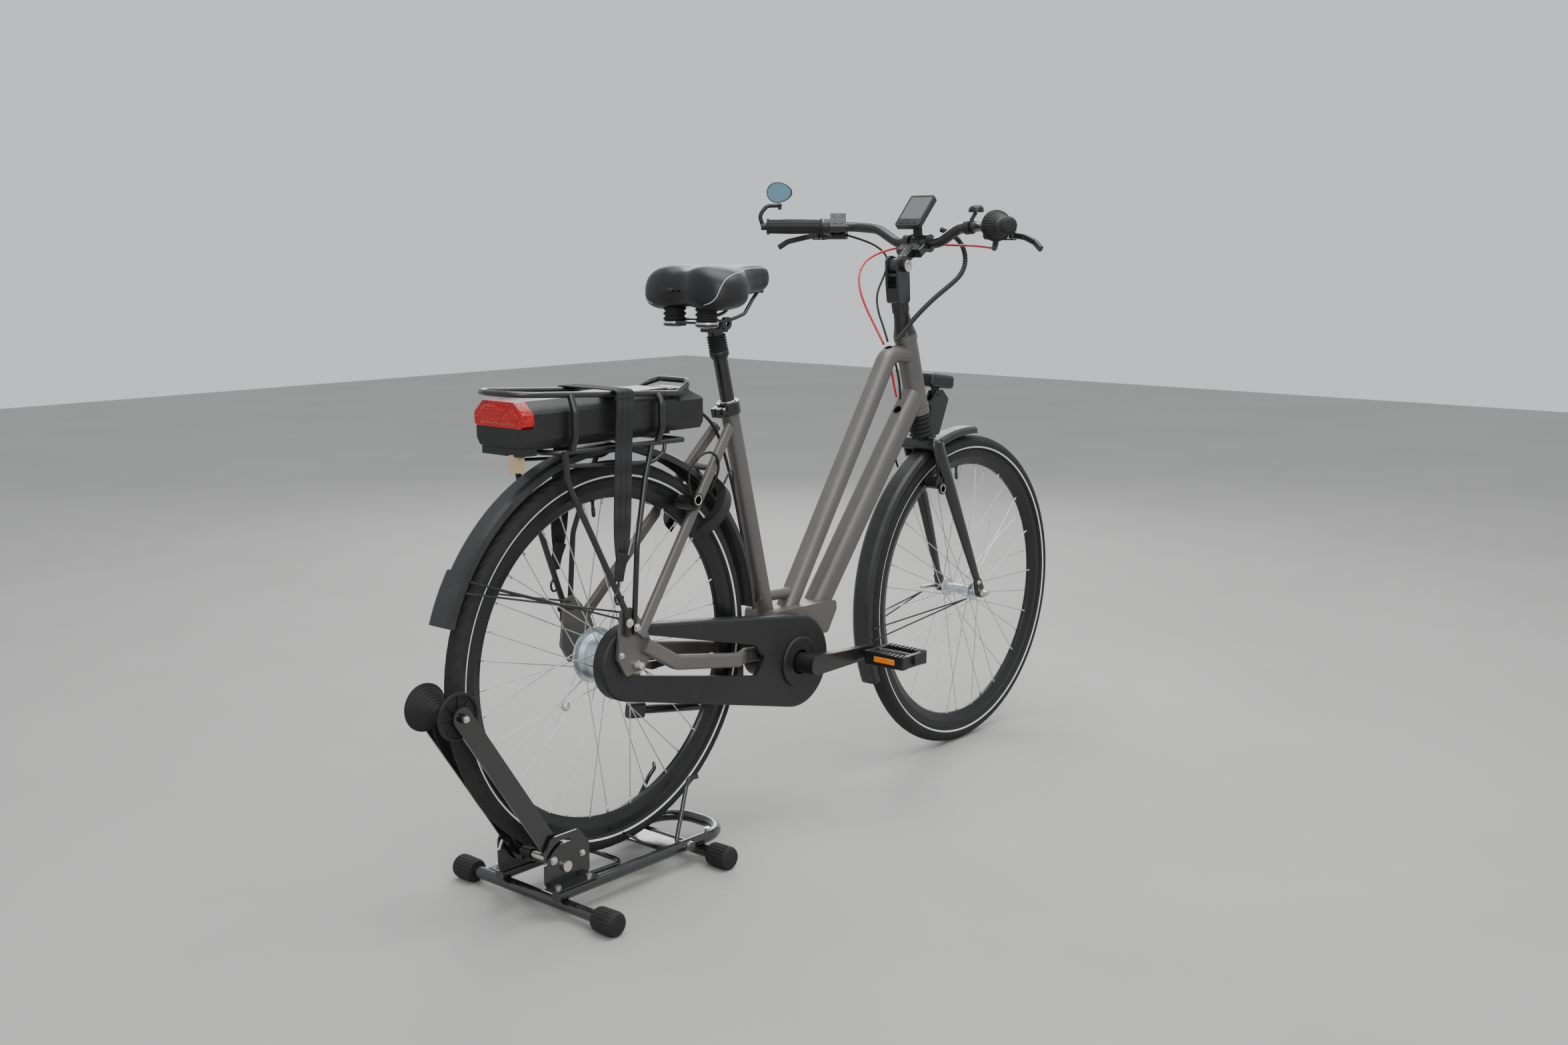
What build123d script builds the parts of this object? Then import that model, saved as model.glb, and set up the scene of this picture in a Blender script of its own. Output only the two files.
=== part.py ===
from build123d import *
import math
import os

# City bicycle with an electric drive, its rear wheel lifted in a tubular floor stand.
# X runs forward from the rear axle, Y to the left and Z up from the floor, in millimetres.
# Each node is moved by ORIGIN_X when it is written, so that the row's origin is mid-length.

# Driving dimensions
TYRE_RADIUS = 349.0
TYRE_WIDTH = 37.0
TYRE_WALL = 3.5
RIM_OUTER = 317.0
RIM_INNER = 284.0
RIM_WIDTH = 24.0
SPOKE_COUNT = 36
SPOKE_RADIUS = 1.0
WHEELBASE = 1096.0
WHEEL_LIFT = 57.0
ORIGIN_X = 522.5
CRANK_LENGTH = 168.0
SPROCKET_RADIUS = 48.0
CHAINRING_RADIUS = 76.0
CHAIN_LINE = -48.0
REAR_DROPOUT_Y = 68.0
PLATE = 7.0
SWITCH_TILT = 35.0
BAR_TIP = Vector(790, 306, 1157)
BAR_BEND = Vector(905, 162, 1157)
BAR_SWEEP = 38.6
POST_RADIUS = 13.6
HEAD_RADIUS = 23.5
BAR_RADIUS = 11.0
GUARD_WIDTH = 46.0
GUARD_WALL = 2.0
LOCK_ANGLE = 45.0
LOCK_DISTANCE = 334.0
LOCK_RADIUS = 56.0
RAIL_RADIUS = 11.0
GAP = 0.5

REAR_AXLE = Vector(0, 0, TYRE_RADIUS + WHEEL_LIFT)
FRONT_AXLE = Vector(WHEELBASE, 0, TYRE_RADIUS)
CRANK_AXLE = Vector(449, 0, 320)
SEAT_TUBE_TOP = Vector(322, 0, 831)
HEAD_TOP = Vector(873, 0, 935)
HEAD_FOOT = Vector(925, 0, 763.5)
STEM_PIVOT = Vector(845, 0, 1076)
BAR_CENTRE = Vector(917, 0, 1122)
STAND_PIVOT = Vector(-160, 0, 84)
ROLLER_AXLE = Vector(-360, 0, 387)
KICKSTAND_PIVOT = Vector(372, 50, 285)
SEAT_AXIS = (SEAT_TUBE_TOP - CRANK_AXLE).normalized()
STEER_AXIS = (HEAD_TOP - HEAD_FOOT).normalized()
SADDLE_CLAMP = SEAT_TUBE_TOP + SEAT_AXIS * 150
HEADLIGHT_PIVOT = Vector(985, 0, 798)


# Shared shapes

def rod(start, end, radius, bore=0.0):
    """Round bar or tube from start to end."""
    start = Vector(start)
    end = Vector(end)
    ring = Circle(radius)
    if bore:
        ring = ring - Circle(bore)
    plane = Plane(origin=start, z_dir=end - start)
    return extrude(plane * ring, amount=(end - start).length)


def across(centre, low, high, radius, bore=0.0):
    """Round bar along Y, between two distances from the middle plane."""
    x, _, z = Vector(centre)
    return rod((x, low, z), (x, high, z), radius, bore)


def swept(points, section, bends, side=(0, 1, 0)):
    """Section carried along straight runs joined by tangent arcs."""
    path = FilletPolyline(*points, radius=bends)
    plane = Plane(origin=path @ 0, x_dir=side, z_dir=path % 0)
    return sweep(plane * section, path=path)


def bar(points, radius, bends):
    """Round bent bar."""
    return swept(points, Circle(radius), bends)


def straight(start, end, section, side=(0, 1, 0)):
    """Section carried from start to end."""
    start = Vector(start)
    end = Vector(end)
    plane = Plane(origin=start, x_dir=side, z_dir=end - start)
    return extrude(plane * section, amount=(end - start).length)


def flat_plate(outline, low, high):
    """Plate cut to an outline in XZ, between two distances along Y."""
    plane = Plane(origin=(0, high, 0), x_dir=(1, 0, 0), z_dir=(0, -1, 0))
    return extrude(plane * outline, amount=high - low, dir=(0, -1, 0))


def outline(points, corner=0.0):
    """Closed polygon with rounded corners."""
    shape = Polygon(*points, align=None)
    if corner:
        shape = fillet(shape.vertices(), corner)
    return shape


def belt(centre_a, radius_a, centre_b, radius_b):
    """Outline of two circles and their outer tangents."""
    first = Pos(centre_a[0], centre_a[1]) * Circle(radius_a)
    second = Pos(centre_b[0], centre_b[1]) * Circle(radius_b)
    return make_hull((first + second).edges())


def turned(profile, centre, angle=360.0, start=0.0):
    """Shape turned about a Y axis through centre; profile is (radius, y) points.
    start is the angle of the first edge, from forward, turning up."""
    centre = Vector(centre)
    tilt = math.radians(start)
    plane = Plane(
        origin=centre,
        x_dir=(math.cos(tilt), 0, math.sin(tilt)),
        z_dir=(-math.sin(tilt), 0, math.cos(tilt)),
    )
    face = plane * Polygon(*profile, align=None)
    return revolve(face, axis=Axis(centre, (0, -1, 0)), revolution_arc=angle)


def both_sides(piece):
    """The piece and its mirror image in the middle plane."""
    return [piece, mirror(piece, about=Plane.XZ)]


def on_circle(centre, radius, degrees, y=0.0):
    """Point at an angle from forward, turning up, in the plane of a wheel."""
    turn = math.radians(degrees)
    return Vector(centre.X + radius * math.cos(turn), y, centre.Z + radius * math.sin(turn))


def along_steerer(distance):
    """Point on the steering axis, measured up from the foot of the head tube."""
    return HEAD_FOOT + STEER_AXIS * distance


# Floor stand

def stand_frame():
    """U-shaped floor rail, two cross tubes, cradle and wire tyre guides, welded together."""
    rail_z = 42.0
    rail_y = 74.0
    front = 235.0
    back = -190.0
    rail_path = [
        (back, -rail_y, rail_z),
        (front, -rail_y, rail_z),
        (front, rail_y, rail_z),
        (back, rail_y, rail_z),
    ]
    rail = bar(rail_path, RAIL_RADIUS, [60, 60])
    rail_core = bar(rail_path, RAIL_RADIUS - 1.5, [60, 60])
    rear_tube = across((-175, 0, 21.5), -200, 200, RAIL_RADIUS)
    front_tube = across((161, 0, 21.5), -145, 145, RAIL_RADIUS)
    rear_core = across((-175, 0, 21.5), -200, 200, RAIL_RADIUS - 1.5)
    front_core = across((161, 0, 21.5), -145, 145, RAIL_RADIUS - 1.5)
    frame = rail + rear_tube + front_tube - rail_core - rear_core - front_core
    plate = Pos(80, 0, 52) * Box(52, 2 * rail_y, 4)
    cradle = swept([(64, -57, 54), (38, -45, 64), (8, -31, 86)], RectangleRounded(16, 4, 1.5), [20])
    guide_wire = bar(
        [(104, -66, 52), (150, -48, 140), (160, -45, 152), (172, -58, 156)], 4.0, [20, 6]
    )
    caps = [rod((back, y, rail_z), (back - 3, y, rail_z), RAIL_RADIUS) for y in (-rail_y, rail_y)]
    pieces = frame + plate + caps[0] + caps[1]
    for side in both_sides(cradle) + both_sides(guide_wire):
        pieces = pieces + side
    return [pieces]


def stand_feet():
    """Four ribbed rubber end caps with a flat underside."""
    feet = []
    for x, reach in ((-175, 205), (161, 150)):
        sleeve = turned(
            [(0, reach), (17, reach), (21, reach - 4), (22, reach - 10), (22, reach - 40),
             (19.5, reach - 50), (RAIL_RADIUS + 0.05, reach - 50), (RAIL_RADIUS + 0.05, reach - 5), (0, reach - 5)],
            (x, 0, 21.5),
        )
        foot = sleeve - Pos(x, reach - 25, -5) * Box(60, 80, 10)
        feet += both_sides(foot)
    return feet


def stand_side_plates():
    """Two upright plates that carry the arm's pivot, each with a foot flange on the rail."""
    shape = outline([(-206, 53), (-206, 112), (-190, 141), (-128, 141), (-105, 112), (-105, 53)], 14)
    slot = Pos(STAND_PIVOT.X, STAND_PIVOT.Z) * (
        Circle(48) - Circle(41) - Pos(0, -30) * Rectangle(120, 80) - Pos(40, 20) * Rectangle(50, 80)
    )
    plate = flat_plate(shape - slot, 58.5, 61.5)
    plate = plate - across(STAND_PIVOT, 50, 70, 6.05)
    flange = Pos(-155.5, 73, 54.5) * Box(101, 26, 3)
    holes = [rod((x, 76, 50), (x, 76, 60), 3.2) for x in (-190, -121)]
    return both_sides(plate + flange - holes[0] - holes[1])


def stand_bolts():
    """Pivot shaft with its nuts, the flange bolts and the rail bolts."""
    shaft = across(STAND_PIVOT, -66, 66, 6.0)
    nuts = [across(STAND_PIVOT, 62, 68, 9.5), across(STAND_PIVOT, -68, -62, 9.5)]
    pieces = [shaft + nuts[0] + nuts[1]]
    for y in (-76, 76):
        for x in (-190, -121):
            pieces.append(rod((x, y, 56), (x, y, 61), 5.5) + rod((x, y, 53.2), (x, y, 57), 3.0))
    for y, length in ((-85.2, -6), (85.2, 6)):
        pieces.append(rod((119, y, 43), (119, y + length, 43), 9.0))
        pieces.append(rod((178, y * 0.87, 53.2), (178, y * 0.87, 59), 5.5))
    return pieces


def stand_arm():
    """Lifting arm: two flat bars with the roller shaft, and the bent pedal bar under the tyre."""
    reach = STAND_PIVOT - ROLLER_AXLE
    slope = math.degrees(math.atan2(reach.Z, reach.X))
    middle = (STAND_PIVOT + ROLLER_AXLE) * 0.5
    blank = SlotOverall(reach.length + 36, 36)
    blade = flat_plate(Pos(middle.X, middle.Z) * Rot(0, 0, slope) * blank, 50.0, 54.0)
    blade = blade - across(STAND_PIVOT, 40, 60, 6.05)
    roller_shaft = across(ROLLER_AXLE, -58, 58, 4.0)
    roller_nuts = [across(ROLLER_AXLE, 56, 62, 7.5), across(ROLLER_AXLE, -62, -56, 7.5)]
    pedal = bar([(-158, -50, 70), (-100, -50, 46), (-12, -50, 43), (-12, 50, 43), (-100, 50, 46), (-158, 50, 70)],
                4.5, [20, 25, 25, 20])
    arm = roller_shaft + roller_nuts[0] + roller_nuts[1]
    for side in both_sides(blade):
        arm = arm + side
    return [arm + pedal - across(STAND_PIVOT, -49.5, 49.5, 6.3) - across(STAND_PIVOT, -60, 60, 6.05)]


def stand_rollers():
    """Two ribbed cones that make a V for the tyre."""
    cone = turned([(4.05, 2.5), (7.5, 2.5), (39, 39.5), (39, 45), (30, 45), (9, 41), (9, 48), (4.05, 48)], ROLLER_AXLE)
    return both_sides(cone)


# Bicycle frame

def main_frame():
    """Head, top, down and seat tubes with the drive bracket and the bridge, welded as one."""
    top_path = [(885, 0, 888), (818, 0, 897), (515, 0, 449), (478, 0, 394)]
    down_start = Vector(903, 0, 803)
    down_end = Vector(555, 0, 370)
    head = rod(HEAD_FOOT, HEAD_TOP, HEAD_RADIUS)
    top = swept(top_path, RectangleRounded(40, 36, 15), [34, 60])
    down = straight(down_start, down_end, RectangleRounded(46, 50, 18))
    seat = rod(CRANK_AXLE + SEAT_AXIS * 40, SEAT_TUBE_TOP, 17)
    bridge = rod((400, 0, 446), (512, 0, 440), 11)
    collar = rod(HEAD_TOP - STEER_AXIS * 14, HEAD_TOP, HEAD_RADIUS + 1.5)
    foot_collar = rod(HEAD_FOOT, HEAD_FOOT + STEER_AXIS * 16, HEAD_RADIUS + 1.5)
    bracket = flat_plate(
        outline([(404, 352), (412, 420), (500, 418), (598, 414), (600, 396), (572, 352)], 8), -40, 40
    )
    frame = head + top + down + seat + bridge + collar + foot_collar + bracket
    head_bore = rod(along_steerer(-1), along_steerer(181), 18)
    seat_bore = rod(CRANK_AXLE + SEAT_AXIS * 130, SEAT_TUBE_TOP + SEAT_AXIS, POST_RADIUS + 0.05)
    top_core = swept([(862, 0, 891), (818, 0, 897), (515, 0, 449), (490, 0, 412)], RectangleRounded(35, 31, 12), [34, 60])
    down_core = straight(down_start - (down_start - down_end) * 0.06, down_end + (down_start - down_end) * 0.12,
                         RectangleRounded(41, 45, 15))
    top_hole = rod((812, 0, 925), (822, 0, 893), 9)
    under_hole = rod((829, 0, 886), (841, 0, 845), 8)
    down_hole = rod((838, 0, 800), (858, 0, 760), 9)
    return [frame - head_bore - seat_bore - top_core - down_core - top_hole - under_hole - down_hole]


def seat_clamp():
    """Collar round the top of the seat tube, with its lug and bolt."""
    low = SEAT_TUBE_TOP - SEAT_AXIS * 20
    high = SEAT_TUBE_TOP + SEAT_AXIS * 3
    ring = rod(low, high, 21.5) - rod(low - SEAT_AXIS, SEAT_TUBE_TOP, 17.0) - rod(low, high + SEAT_AXIS, POST_RADIUS + 0.3)
    centre = (low + high) * 0.5 - Vector(27, 0, 7)
    lug = Pos(centre.X, 0, centre.Z) * Rot(0, -14, 0) * Box(20, 22, 17)
    slit = Pos(centre.X - 4, 0, centre.Z) * Rot(0, -14, 0) * Box(30, 3, 60)
    screw = across((centre.X - 2, 0, centre.Z), -14, 12, 3.0) + across((centre.X - 2, 0, centre.Z), -18, -11, 5.0)
    return [ring + (lug - rod(low, high, 20)) - slit + screw]


def rear_stays():
    """Chainstays, seat stays and dropout plates."""
    right_path = [(18, -78, 438), (96, -78, 391), (262, -76, 362), (330, -31, 350), (404, -29, 342)]
    left_path = [(18, 78, 438), (96, 78, 391), (300, 64, 356), (366, 34, 346), (404, 30, 342)]
    section = RectangleRounded(17, 27, 6)
    right_chainstay = swept(right_path, section, [40, 30, 20])
    left_chainstay = swept(left_path, section, [40, 30, 20])
    seat_stay = straight((8, -77, 455), (308, -17, 789), RectangleRounded(12, 21, 5))
    dropout = flat_plate(
        outline([(-22, 388), (-42, 422), (-30, 506), (-10, 510), (26, 470), (44, 425), (22, 394)], 7),
        REAR_DROPOUT_Y, REAR_DROPOUT_Y + PLATE,
    )
    bridge = across((245, 0, 719), -32, 32, 6)
    stays = right_chainstay + left_chainstay + bridge
    for side in both_sides(seat_stay) + both_sides(dropout):
        stays = stays + side
    return [stays - across(REAR_AXLE, -95, 95, 5.05)]


def drive_unit():
    """Motor casing round the crank axle."""
    body = flat_plate(belt((CRANK_AXLE.X, CRANK_AXLE.Z), 44, (524, 330), 40), -40, 40)
    bracket = Pos(500, 0, 392) * Box(400, 200, 80)
    shaft_bore = across(CRANK_AXLE, -50, 50, 12.06)
    return [body - bracket - shaft_bore]


def chain_case():
    """Closed chain case: a shell with a long window that the chainstay passes through."""
    low = -66.0
    high = -40.0
    rear = (REAR_AXLE.X, REAR_AXLE.Z)
    front = (CRANK_AXLE.X, CRANK_AXLE.Z)
    body = flat_plate(belt(rear, 68, front, 91), low, high)
    body = fillet(body.faces().sort_by(Axis.Y)[0].outer_wire().edges(), 6)
    hollow = flat_plate(belt(rear, 65.5, front, 88.5), low + 3, high - 2.5)
    window_points = [(-10, 386), (-34, 415), (-25, 445), (20, 454), (325, 376), (350, 348), (325, 316)]
    window = outline(window_points, 9)
    frame_wall = offset(window, 2.5)
    collar = flat_plate(frame_wall - window, low, low + 9)
    opening = flat_plate(window, low - 5, high + 5)
    back = flat_plate(belt(rear, 52, front, 52), high - 5, high + 1)
    boss = across(CRANK_AXLE, -72, low + 1, 50)
    boss = fillet(boss.faces().sort_by(Axis.Y)[0].edges(), 4)
    shaft_hole = across(CRANK_AXLE, -80, low + 4, 24)
    return [body - hollow + collar - opening - back + boss - shaft_hole]


def chain():
    """Chain, as one closed band round the sprocket and the chainring."""
    rear = (REAR_AXLE.X, REAR_AXLE.Z)
    front = (CRANK_AXLE.X, CRANK_AXLE.Z)
    outer = belt(rear, SPROCKET_RADIUS + 7.5, front, CHAINRING_RADIUS + 7.5)
    inner = belt(rear, SPROCKET_RADIUS + GAP, front, CHAINRING_RADIUS + GAP)
    return [flat_plate(outer - inner, CHAIN_LINE - 4, CHAIN_LINE + 4)]


def guard_section(radius, width):
    """Shallow C section of a mudguard, as (radius, y) points."""
    half = width / 2
    lip = 15.0
    return [
        (radius - lip, -half), (radius - 4, -half + 2.0), (radius, -half + 9), (radius, half - 9),
        (radius - 4, half - 2.0), (radius - lip, half), (radius - lip, half - GUARD_WALL),
        (radius - 4.5, half - 4.0), (radius - GUARD_WALL, half - 9.6), (radius - GUARD_WALL, -half + 9.6),
        (radius - 4.5, -half + 4.0), (radius - lip, -half + GUARD_WALL),
    ]


def rear_mudguard():
    """Curved guard over the rear tyre, its flared flap and four wire stays."""
    guard = turned(guard_section(TYRE_RADIUS + 31, GUARD_WIDTH), REAR_AXLE, 153, 4)
    flap = turned(guard_section(TYRE_RADIUS + 34.5, GUARD_WIDTH + 8), REAR_AXLE, 14, 147.5)
    wires = []
    for turn, lug in ((152, (-22, 501)), (149, (-16, 486))):
        tip = on_circle(REAR_AXLE, TYRE_RADIUS + 20, turn, 0)
        wires += both_sides(rod((tip.X, 29, tip.Z), (lug[0], REAR_DROPOUT_Y - 2.5, lug[1]), 1.75))
    bridge = across(on_circle(REAR_AXLE, TYRE_RADIUS + 18, 57), 24, 30, 4)
    return [guard, flap - guard] + wires


def rack():
    """Luggage rack: top loop, side hoops, lower loop, strap bars and legs down to the dropouts."""
    half = 60.0
    top_rear = [
        (145, -half + 4, 865), (-238, -half, 889), (-238, half, 889), (145, half - 4, 865),
    ]
    top_loop = bar(top_rear, 5.0, [50, 50])
    nose = bar([(95, -half + 3, 868.2), (130, -half + 5, 866), (160, -half + 10, 877), (176, -34, 884), (176, 34, 884),
                (160, half - 10, 877), (130, half - 5, 866), (95, half - 3, 868.2)],
               5.0, [20, 18, 12, 12, 18, 20])
    lower = bar([(138, -half, 784), (-160, -half, 788), (-160, half, 788), (138, half, 784)], 4.5, [40, 40])
    lower_front = across((138, 0, 784), -half, half, 4.5)
    bottom = bar([(-140, -half - 2, 766), (60, -half - 2, 752), (88, -half - 2, 766), (94, -half, 785)], 3.5, [40, 12])
    rack_body = top_loop + nose + lower + lower_front
    for x in (-124, 76):
        hoop = bar([(x, -half, 877 - 0.063 * (x + 50)), (x, -half - 10, 855), (x, -half - 10, 812), (x, -half, 788)],
                   6.0, [14, 14])
        for side in both_sides(hoop):
            rack_body = rack_body + side
    rear_leg = bar([(-138, -half, 790), (-136, -half - 2, 737), (-92, -66, 650), (-24, -82, 497), (-26, -82, 462)],
                   5.5, [60, 60, 20])
    front_leg = bar([(62, -half, 785), (36, -68, 728), (2, -81, 620), (-8, -82, 490), (-8, -82, 462)], 5.0, [50, 60, 60])
    for side in both_sides(rear_leg) + both_sides(front_leg) + both_sides(bottom):
        rack_body = rack_body + side
    return [rack_body]


def rack_straps():
    """Elastic straps that hang over the rack, with a hook at each end."""
    pieces = []
    for y in (-74, 74):
        step = 2 * math.copysign(1, y)
        pieces.append(straight((-14, y, 862), (-33, y + step, 600), Rectangle(38, 3), (1, 0, 0)))
        pieces.append(straight((-33, y + step, 600), (-38, y + 2 * step, 545), Rectangle(20, 6), (1, 0, 0)))
    top = straight((-12, -75.5, 882.5), (-12, 75.5, 882.5), Rectangle(38, 3), (1, 0, 0))
    corners = [straight((-13, y, 884), (-14, y, 861), Rectangle(38, 3), (1, 0, 0)) for y in (-74, 74)]
    return [top + corners[0] + corners[1] + pieces[0] + pieces[1] + pieces[2] + pieces[3]]


def battery_section(width, height, chamfer):
    """Section of the battery case, with its long edges cut at an angle."""
    half = width / 2
    return Polygon(
        (-half, chamfer), (-half + 8, 0), (half - 8, 0), (half, chamfer), (half, height - 20),
        (half - 22, height), (-half + 22, height), (-half, height - 20), align=None,
    )


def battery():
    """Battery case, slid in from the rear."""
    plane = Plane(origin=(-224, 0, 801), x_dir=(0, 1, 0), z_dir=(1, 0, 0))
    case = extrude(plane * battery_section(116, 74, 12), amount=348)
    return [case - lamp_envelope()]


def lamp_envelope():
    """Block that the tail lamp fills, across the rear face and round both corners."""
    return Pos(-214.0, 0, 855) * Box(24, 130, 44.4)


def tail_light():
    """Wrap-round tail lamp."""
    plane = Plane(origin=(-226, 0, 833), x_dir=(0, 1, 0), z_dir=(1, 0, 0))
    half = 60.0
    lens = Polygon((-half, 4), (-half + 6, 0), (half - 6, 0), (half, 4), (half, 22), (half - 22, 42), (-half + 22, 42),
                   (-half, 22), align=None)
    return [extrude(plane * lens, amount=23.7)]


def battery_dock():
    """Front connector block and the rail that the battery slides on."""
    plane = Plane(origin=(124.6, 0, 800), x_dir=(0, 1, 0), z_dir=(1, 0, 0))
    block = extrude(plane * battery_section(112, 72, 12), amount=70)
    block = block - Pos(205, 0, 872) * Rot(0, 35, 0) * Box(40, 140, 40)
    rail = Pos(-46, 0, 797.5) * Box(340, 84, 5)
    tail = Pos(-205, 0, 793.6) * Box(34, 96, 13)
    return [block + rail + tail]


def ring_lock_plane():
    """Plane of the ring lock, across the rear tyre between the stays."""
    turn = math.radians(LOCK_ANGLE)
    return Plane(
        origin=on_circle(REAR_AXLE, LOCK_DISTANCE, LOCK_ANGLE),
        x_dir=(0, 1, 0),
        z_dir=(math.sin(turn), 0, -math.cos(turn)),
    )


def ring_lock():
    """Horseshoe lock body, open towards the hub, with two lugs to the stay bridge."""
    plane = ring_lock_plane()
    body = Circle(LOCK_RADIUS + 10) - Circle(LOCK_RADIUS - 8) - Pos(0, -60) * Rectangle(76, 90)
    channel = Circle(LOCK_RADIUS + 3.5) - Circle(LOCK_RADIUS - 3.5)
    case = extrude(plane * body, amount=11, both=True)
    groove = extrude(plane * channel, amount=4.6, both=True)
    lug = rod((271.5, 18, 692), (250, 18, 714), 4)
    return [case - groove] + both_sides(lug)


def lock_shackle():
    """Steel ring section that turns inside the lock body and closes its mouth."""
    sector = Polygon((0, 0), (110, -80), (110, 110), (-60, 110), align=None)
    ring = (Circle(LOCK_RADIUS + 3) - Circle(LOCK_RADIUS - 3)) & sector
    return [extrude(ring_lock_plane() * ring, amount=4.1, both=True)]


def brake(axle, direction, reach, lug_end):
    """Rim brake: on each side of the rim a pad, its cylinder and the lug that holds it."""
    x, _, z = on_circle(axle, RIM_OUTER - 8, direction)
    pad = rod((x, RIM_WIDTH / 2 + 1, z), (x, 21, z), 7)
    cylinder = rod((x, 21, z), (x, reach, z), 13)
    lug = rod((x, 40, z), lug_end, 6)
    return both_sides(pad + cylinder + lug)


def rear_brake():
    """Rear rim brake on the seat stays."""
    return brake(REAR_AXLE, 57, 58, (178, 43, 642))


def rear_axle():
    """Fixed axle with locknuts, dome nuts and chain tensioner screws."""
    axle = across(REAR_AXLE, -90, 90, 5.0)
    axle = axle + across(REAR_AXLE, -REAR_DROPOUT_Y, -53, 9) + across(REAR_AXLE, 42, REAR_DROPOUT_Y, 9)
    dome = turned([(0.1, 75.1), (9, 75.1), (9, 82), (6, 91), (0.1, 94)], REAR_AXLE)
    for side in both_sides(dome):
        axle = axle + side
    return [axle]


# Wheels

def tyre(axle):
    """Tyre carcass, open towards the rim."""
    centre = TYRE_RADIUS - TYRE_WIDTH / 2
    half = TYRE_WIDTH / 2
    plane = Plane(origin=axle)
    section = Pos(centre, 0) * (Circle(half) - Circle(half - TYRE_WALL))
    section = section - Pos(centre - half - 10 + (RIM_OUTER + 0.1 - (centre - half)), 0) * Rectangle(20, 60)
    return [revolve(plane * section, axis=Axis(axle, (0, 1, 0)))]


def rim(axle):
    """Deep hollow rim with a flat brake track on each side."""
    half = RIM_WIDTH / 2
    outer = [
        (RIM_OUTER, -half), (RIM_OUTER - 14, -half), (RIM_OUTER - 20, -half + 2), (RIM_INNER + 3, -6), (RIM_INNER, -3),
        (RIM_INNER, 3), (RIM_INNER + 3, 6), (RIM_OUTER - 20, half - 2), (RIM_OUTER - 14, half), (RIM_OUTER, half),
        (RIM_OUTER, half - 2), (RIM_OUTER - 7, half - 2), (RIM_OUTER - 8.5, 0), (RIM_OUTER - 7, -half + 2),
        (RIM_OUTER, -half + 2),
    ]
    inner = [
        (RIM_OUTER - 11, -half + 2), (RIM_OUTER - 19, -half + 4), (RIM_INNER + 4, -4), (RIM_INNER + 2, 0),
        (RIM_INNER + 4, 4), (RIM_OUTER - 19, half - 4), (RIM_OUTER - 11, half - 2),
    ]
    return [turned(outer, axle) - turned(inner, axle)]


def spokes(axle, flange_radius, flange_y, cross_degrees):
    """Laced spokes: each leaves the flange at a slant and meets the rim near its middle."""
    pieces = []
    step = 360 / SPOKE_COUNT
    for index in range(SPOKE_COUNT):
        side = 1 if index % 2 else -1
        lean = cross_degrees if index % 4 < 2 else -cross_degrees
        face = 1.3 if index % 4 < 2 else -1.3
        foot = on_circle(axle, flange_radius, index * step + lean, side * (flange_y + face))
        tip = on_circle(axle, RIM_INNER + 2, index * step, side * 3.2)
        pieces.append(rod(foot, tip, SPOKE_RADIUS))
    return pieces


def rear_hub():
    """Drum-shaped hub shell with two spoke flanges and the drive side end."""
    return [turned([
        (5.06, -40), (17, -40), (17, -36), (46, -34), (50, -32), (50, -28), (42, -26), (36, -18), (36, 18), (42, 26),
        (50, 28), (50, 32), (46, 34), (20, 37), (17, 41), (5.06, 41),
    ], REAR_AXLE)]


def rear_sprocket():
    """Toothed sprocket on its driver."""
    disc = across(REAR_AXLE, CHAIN_LINE - 2, CHAIN_LINE + 2, SPROCKET_RADIUS - 2.5)
    driver = across(REAR_AXLE, -52.5, -40.5, 16)
    sprocket = disc + driver
    for index in range(24):
        tip = on_circle(REAR_AXLE, SPROCKET_RADIUS - 3, index * 15)
        tooth = Pos(tip.X, CHAIN_LINE, tip.Z) * Rot(0, -index * 15, 0) * Box(6, 3, 5)
        sprocket = sprocket + tooth
    return [sprocket - across(REAR_AXLE, -60, -30, 5.06)]


def front_hub():
    """Small front hub shell."""
    return [turned([
        (4.55, -40), (10, -40), (10, -37), (21, -36), (21, -33), (12, -31), (10, -20), (10, 20), (12, 31), (21, 33),
        (21, 36), (10, 37), (10, 40), (4.55, 40),
    ], FRONT_AXLE)]


def front_axle():
    """Quick-release skewer with its end nut and lever, and the two locknuts."""
    skewer = across(FRONT_AXLE, -66, 64, 4.5)
    locknuts = [across(FRONT_AXLE, -47.5, -40.6, 9), across(FRONT_AXLE, 40.6, 47.5, 9)]
    nut = turned([(0.1, -76), (6, -75), (9, -66), (9, -59.6), (0.1, -59.6)], FRONT_AXLE)
    cam = across(FRONT_AXLE, 59.6, 70, 9)
    lever = straight((WHEELBASE, 66, TYRE_RADIUS), (WHEELBASE - 58, 64, TYRE_RADIUS + 4), RectangleRounded(12, 7, 3))
    return [skewer + locknuts[0] + locknuts[1] + nut + cam + lever]


# Drive

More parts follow.
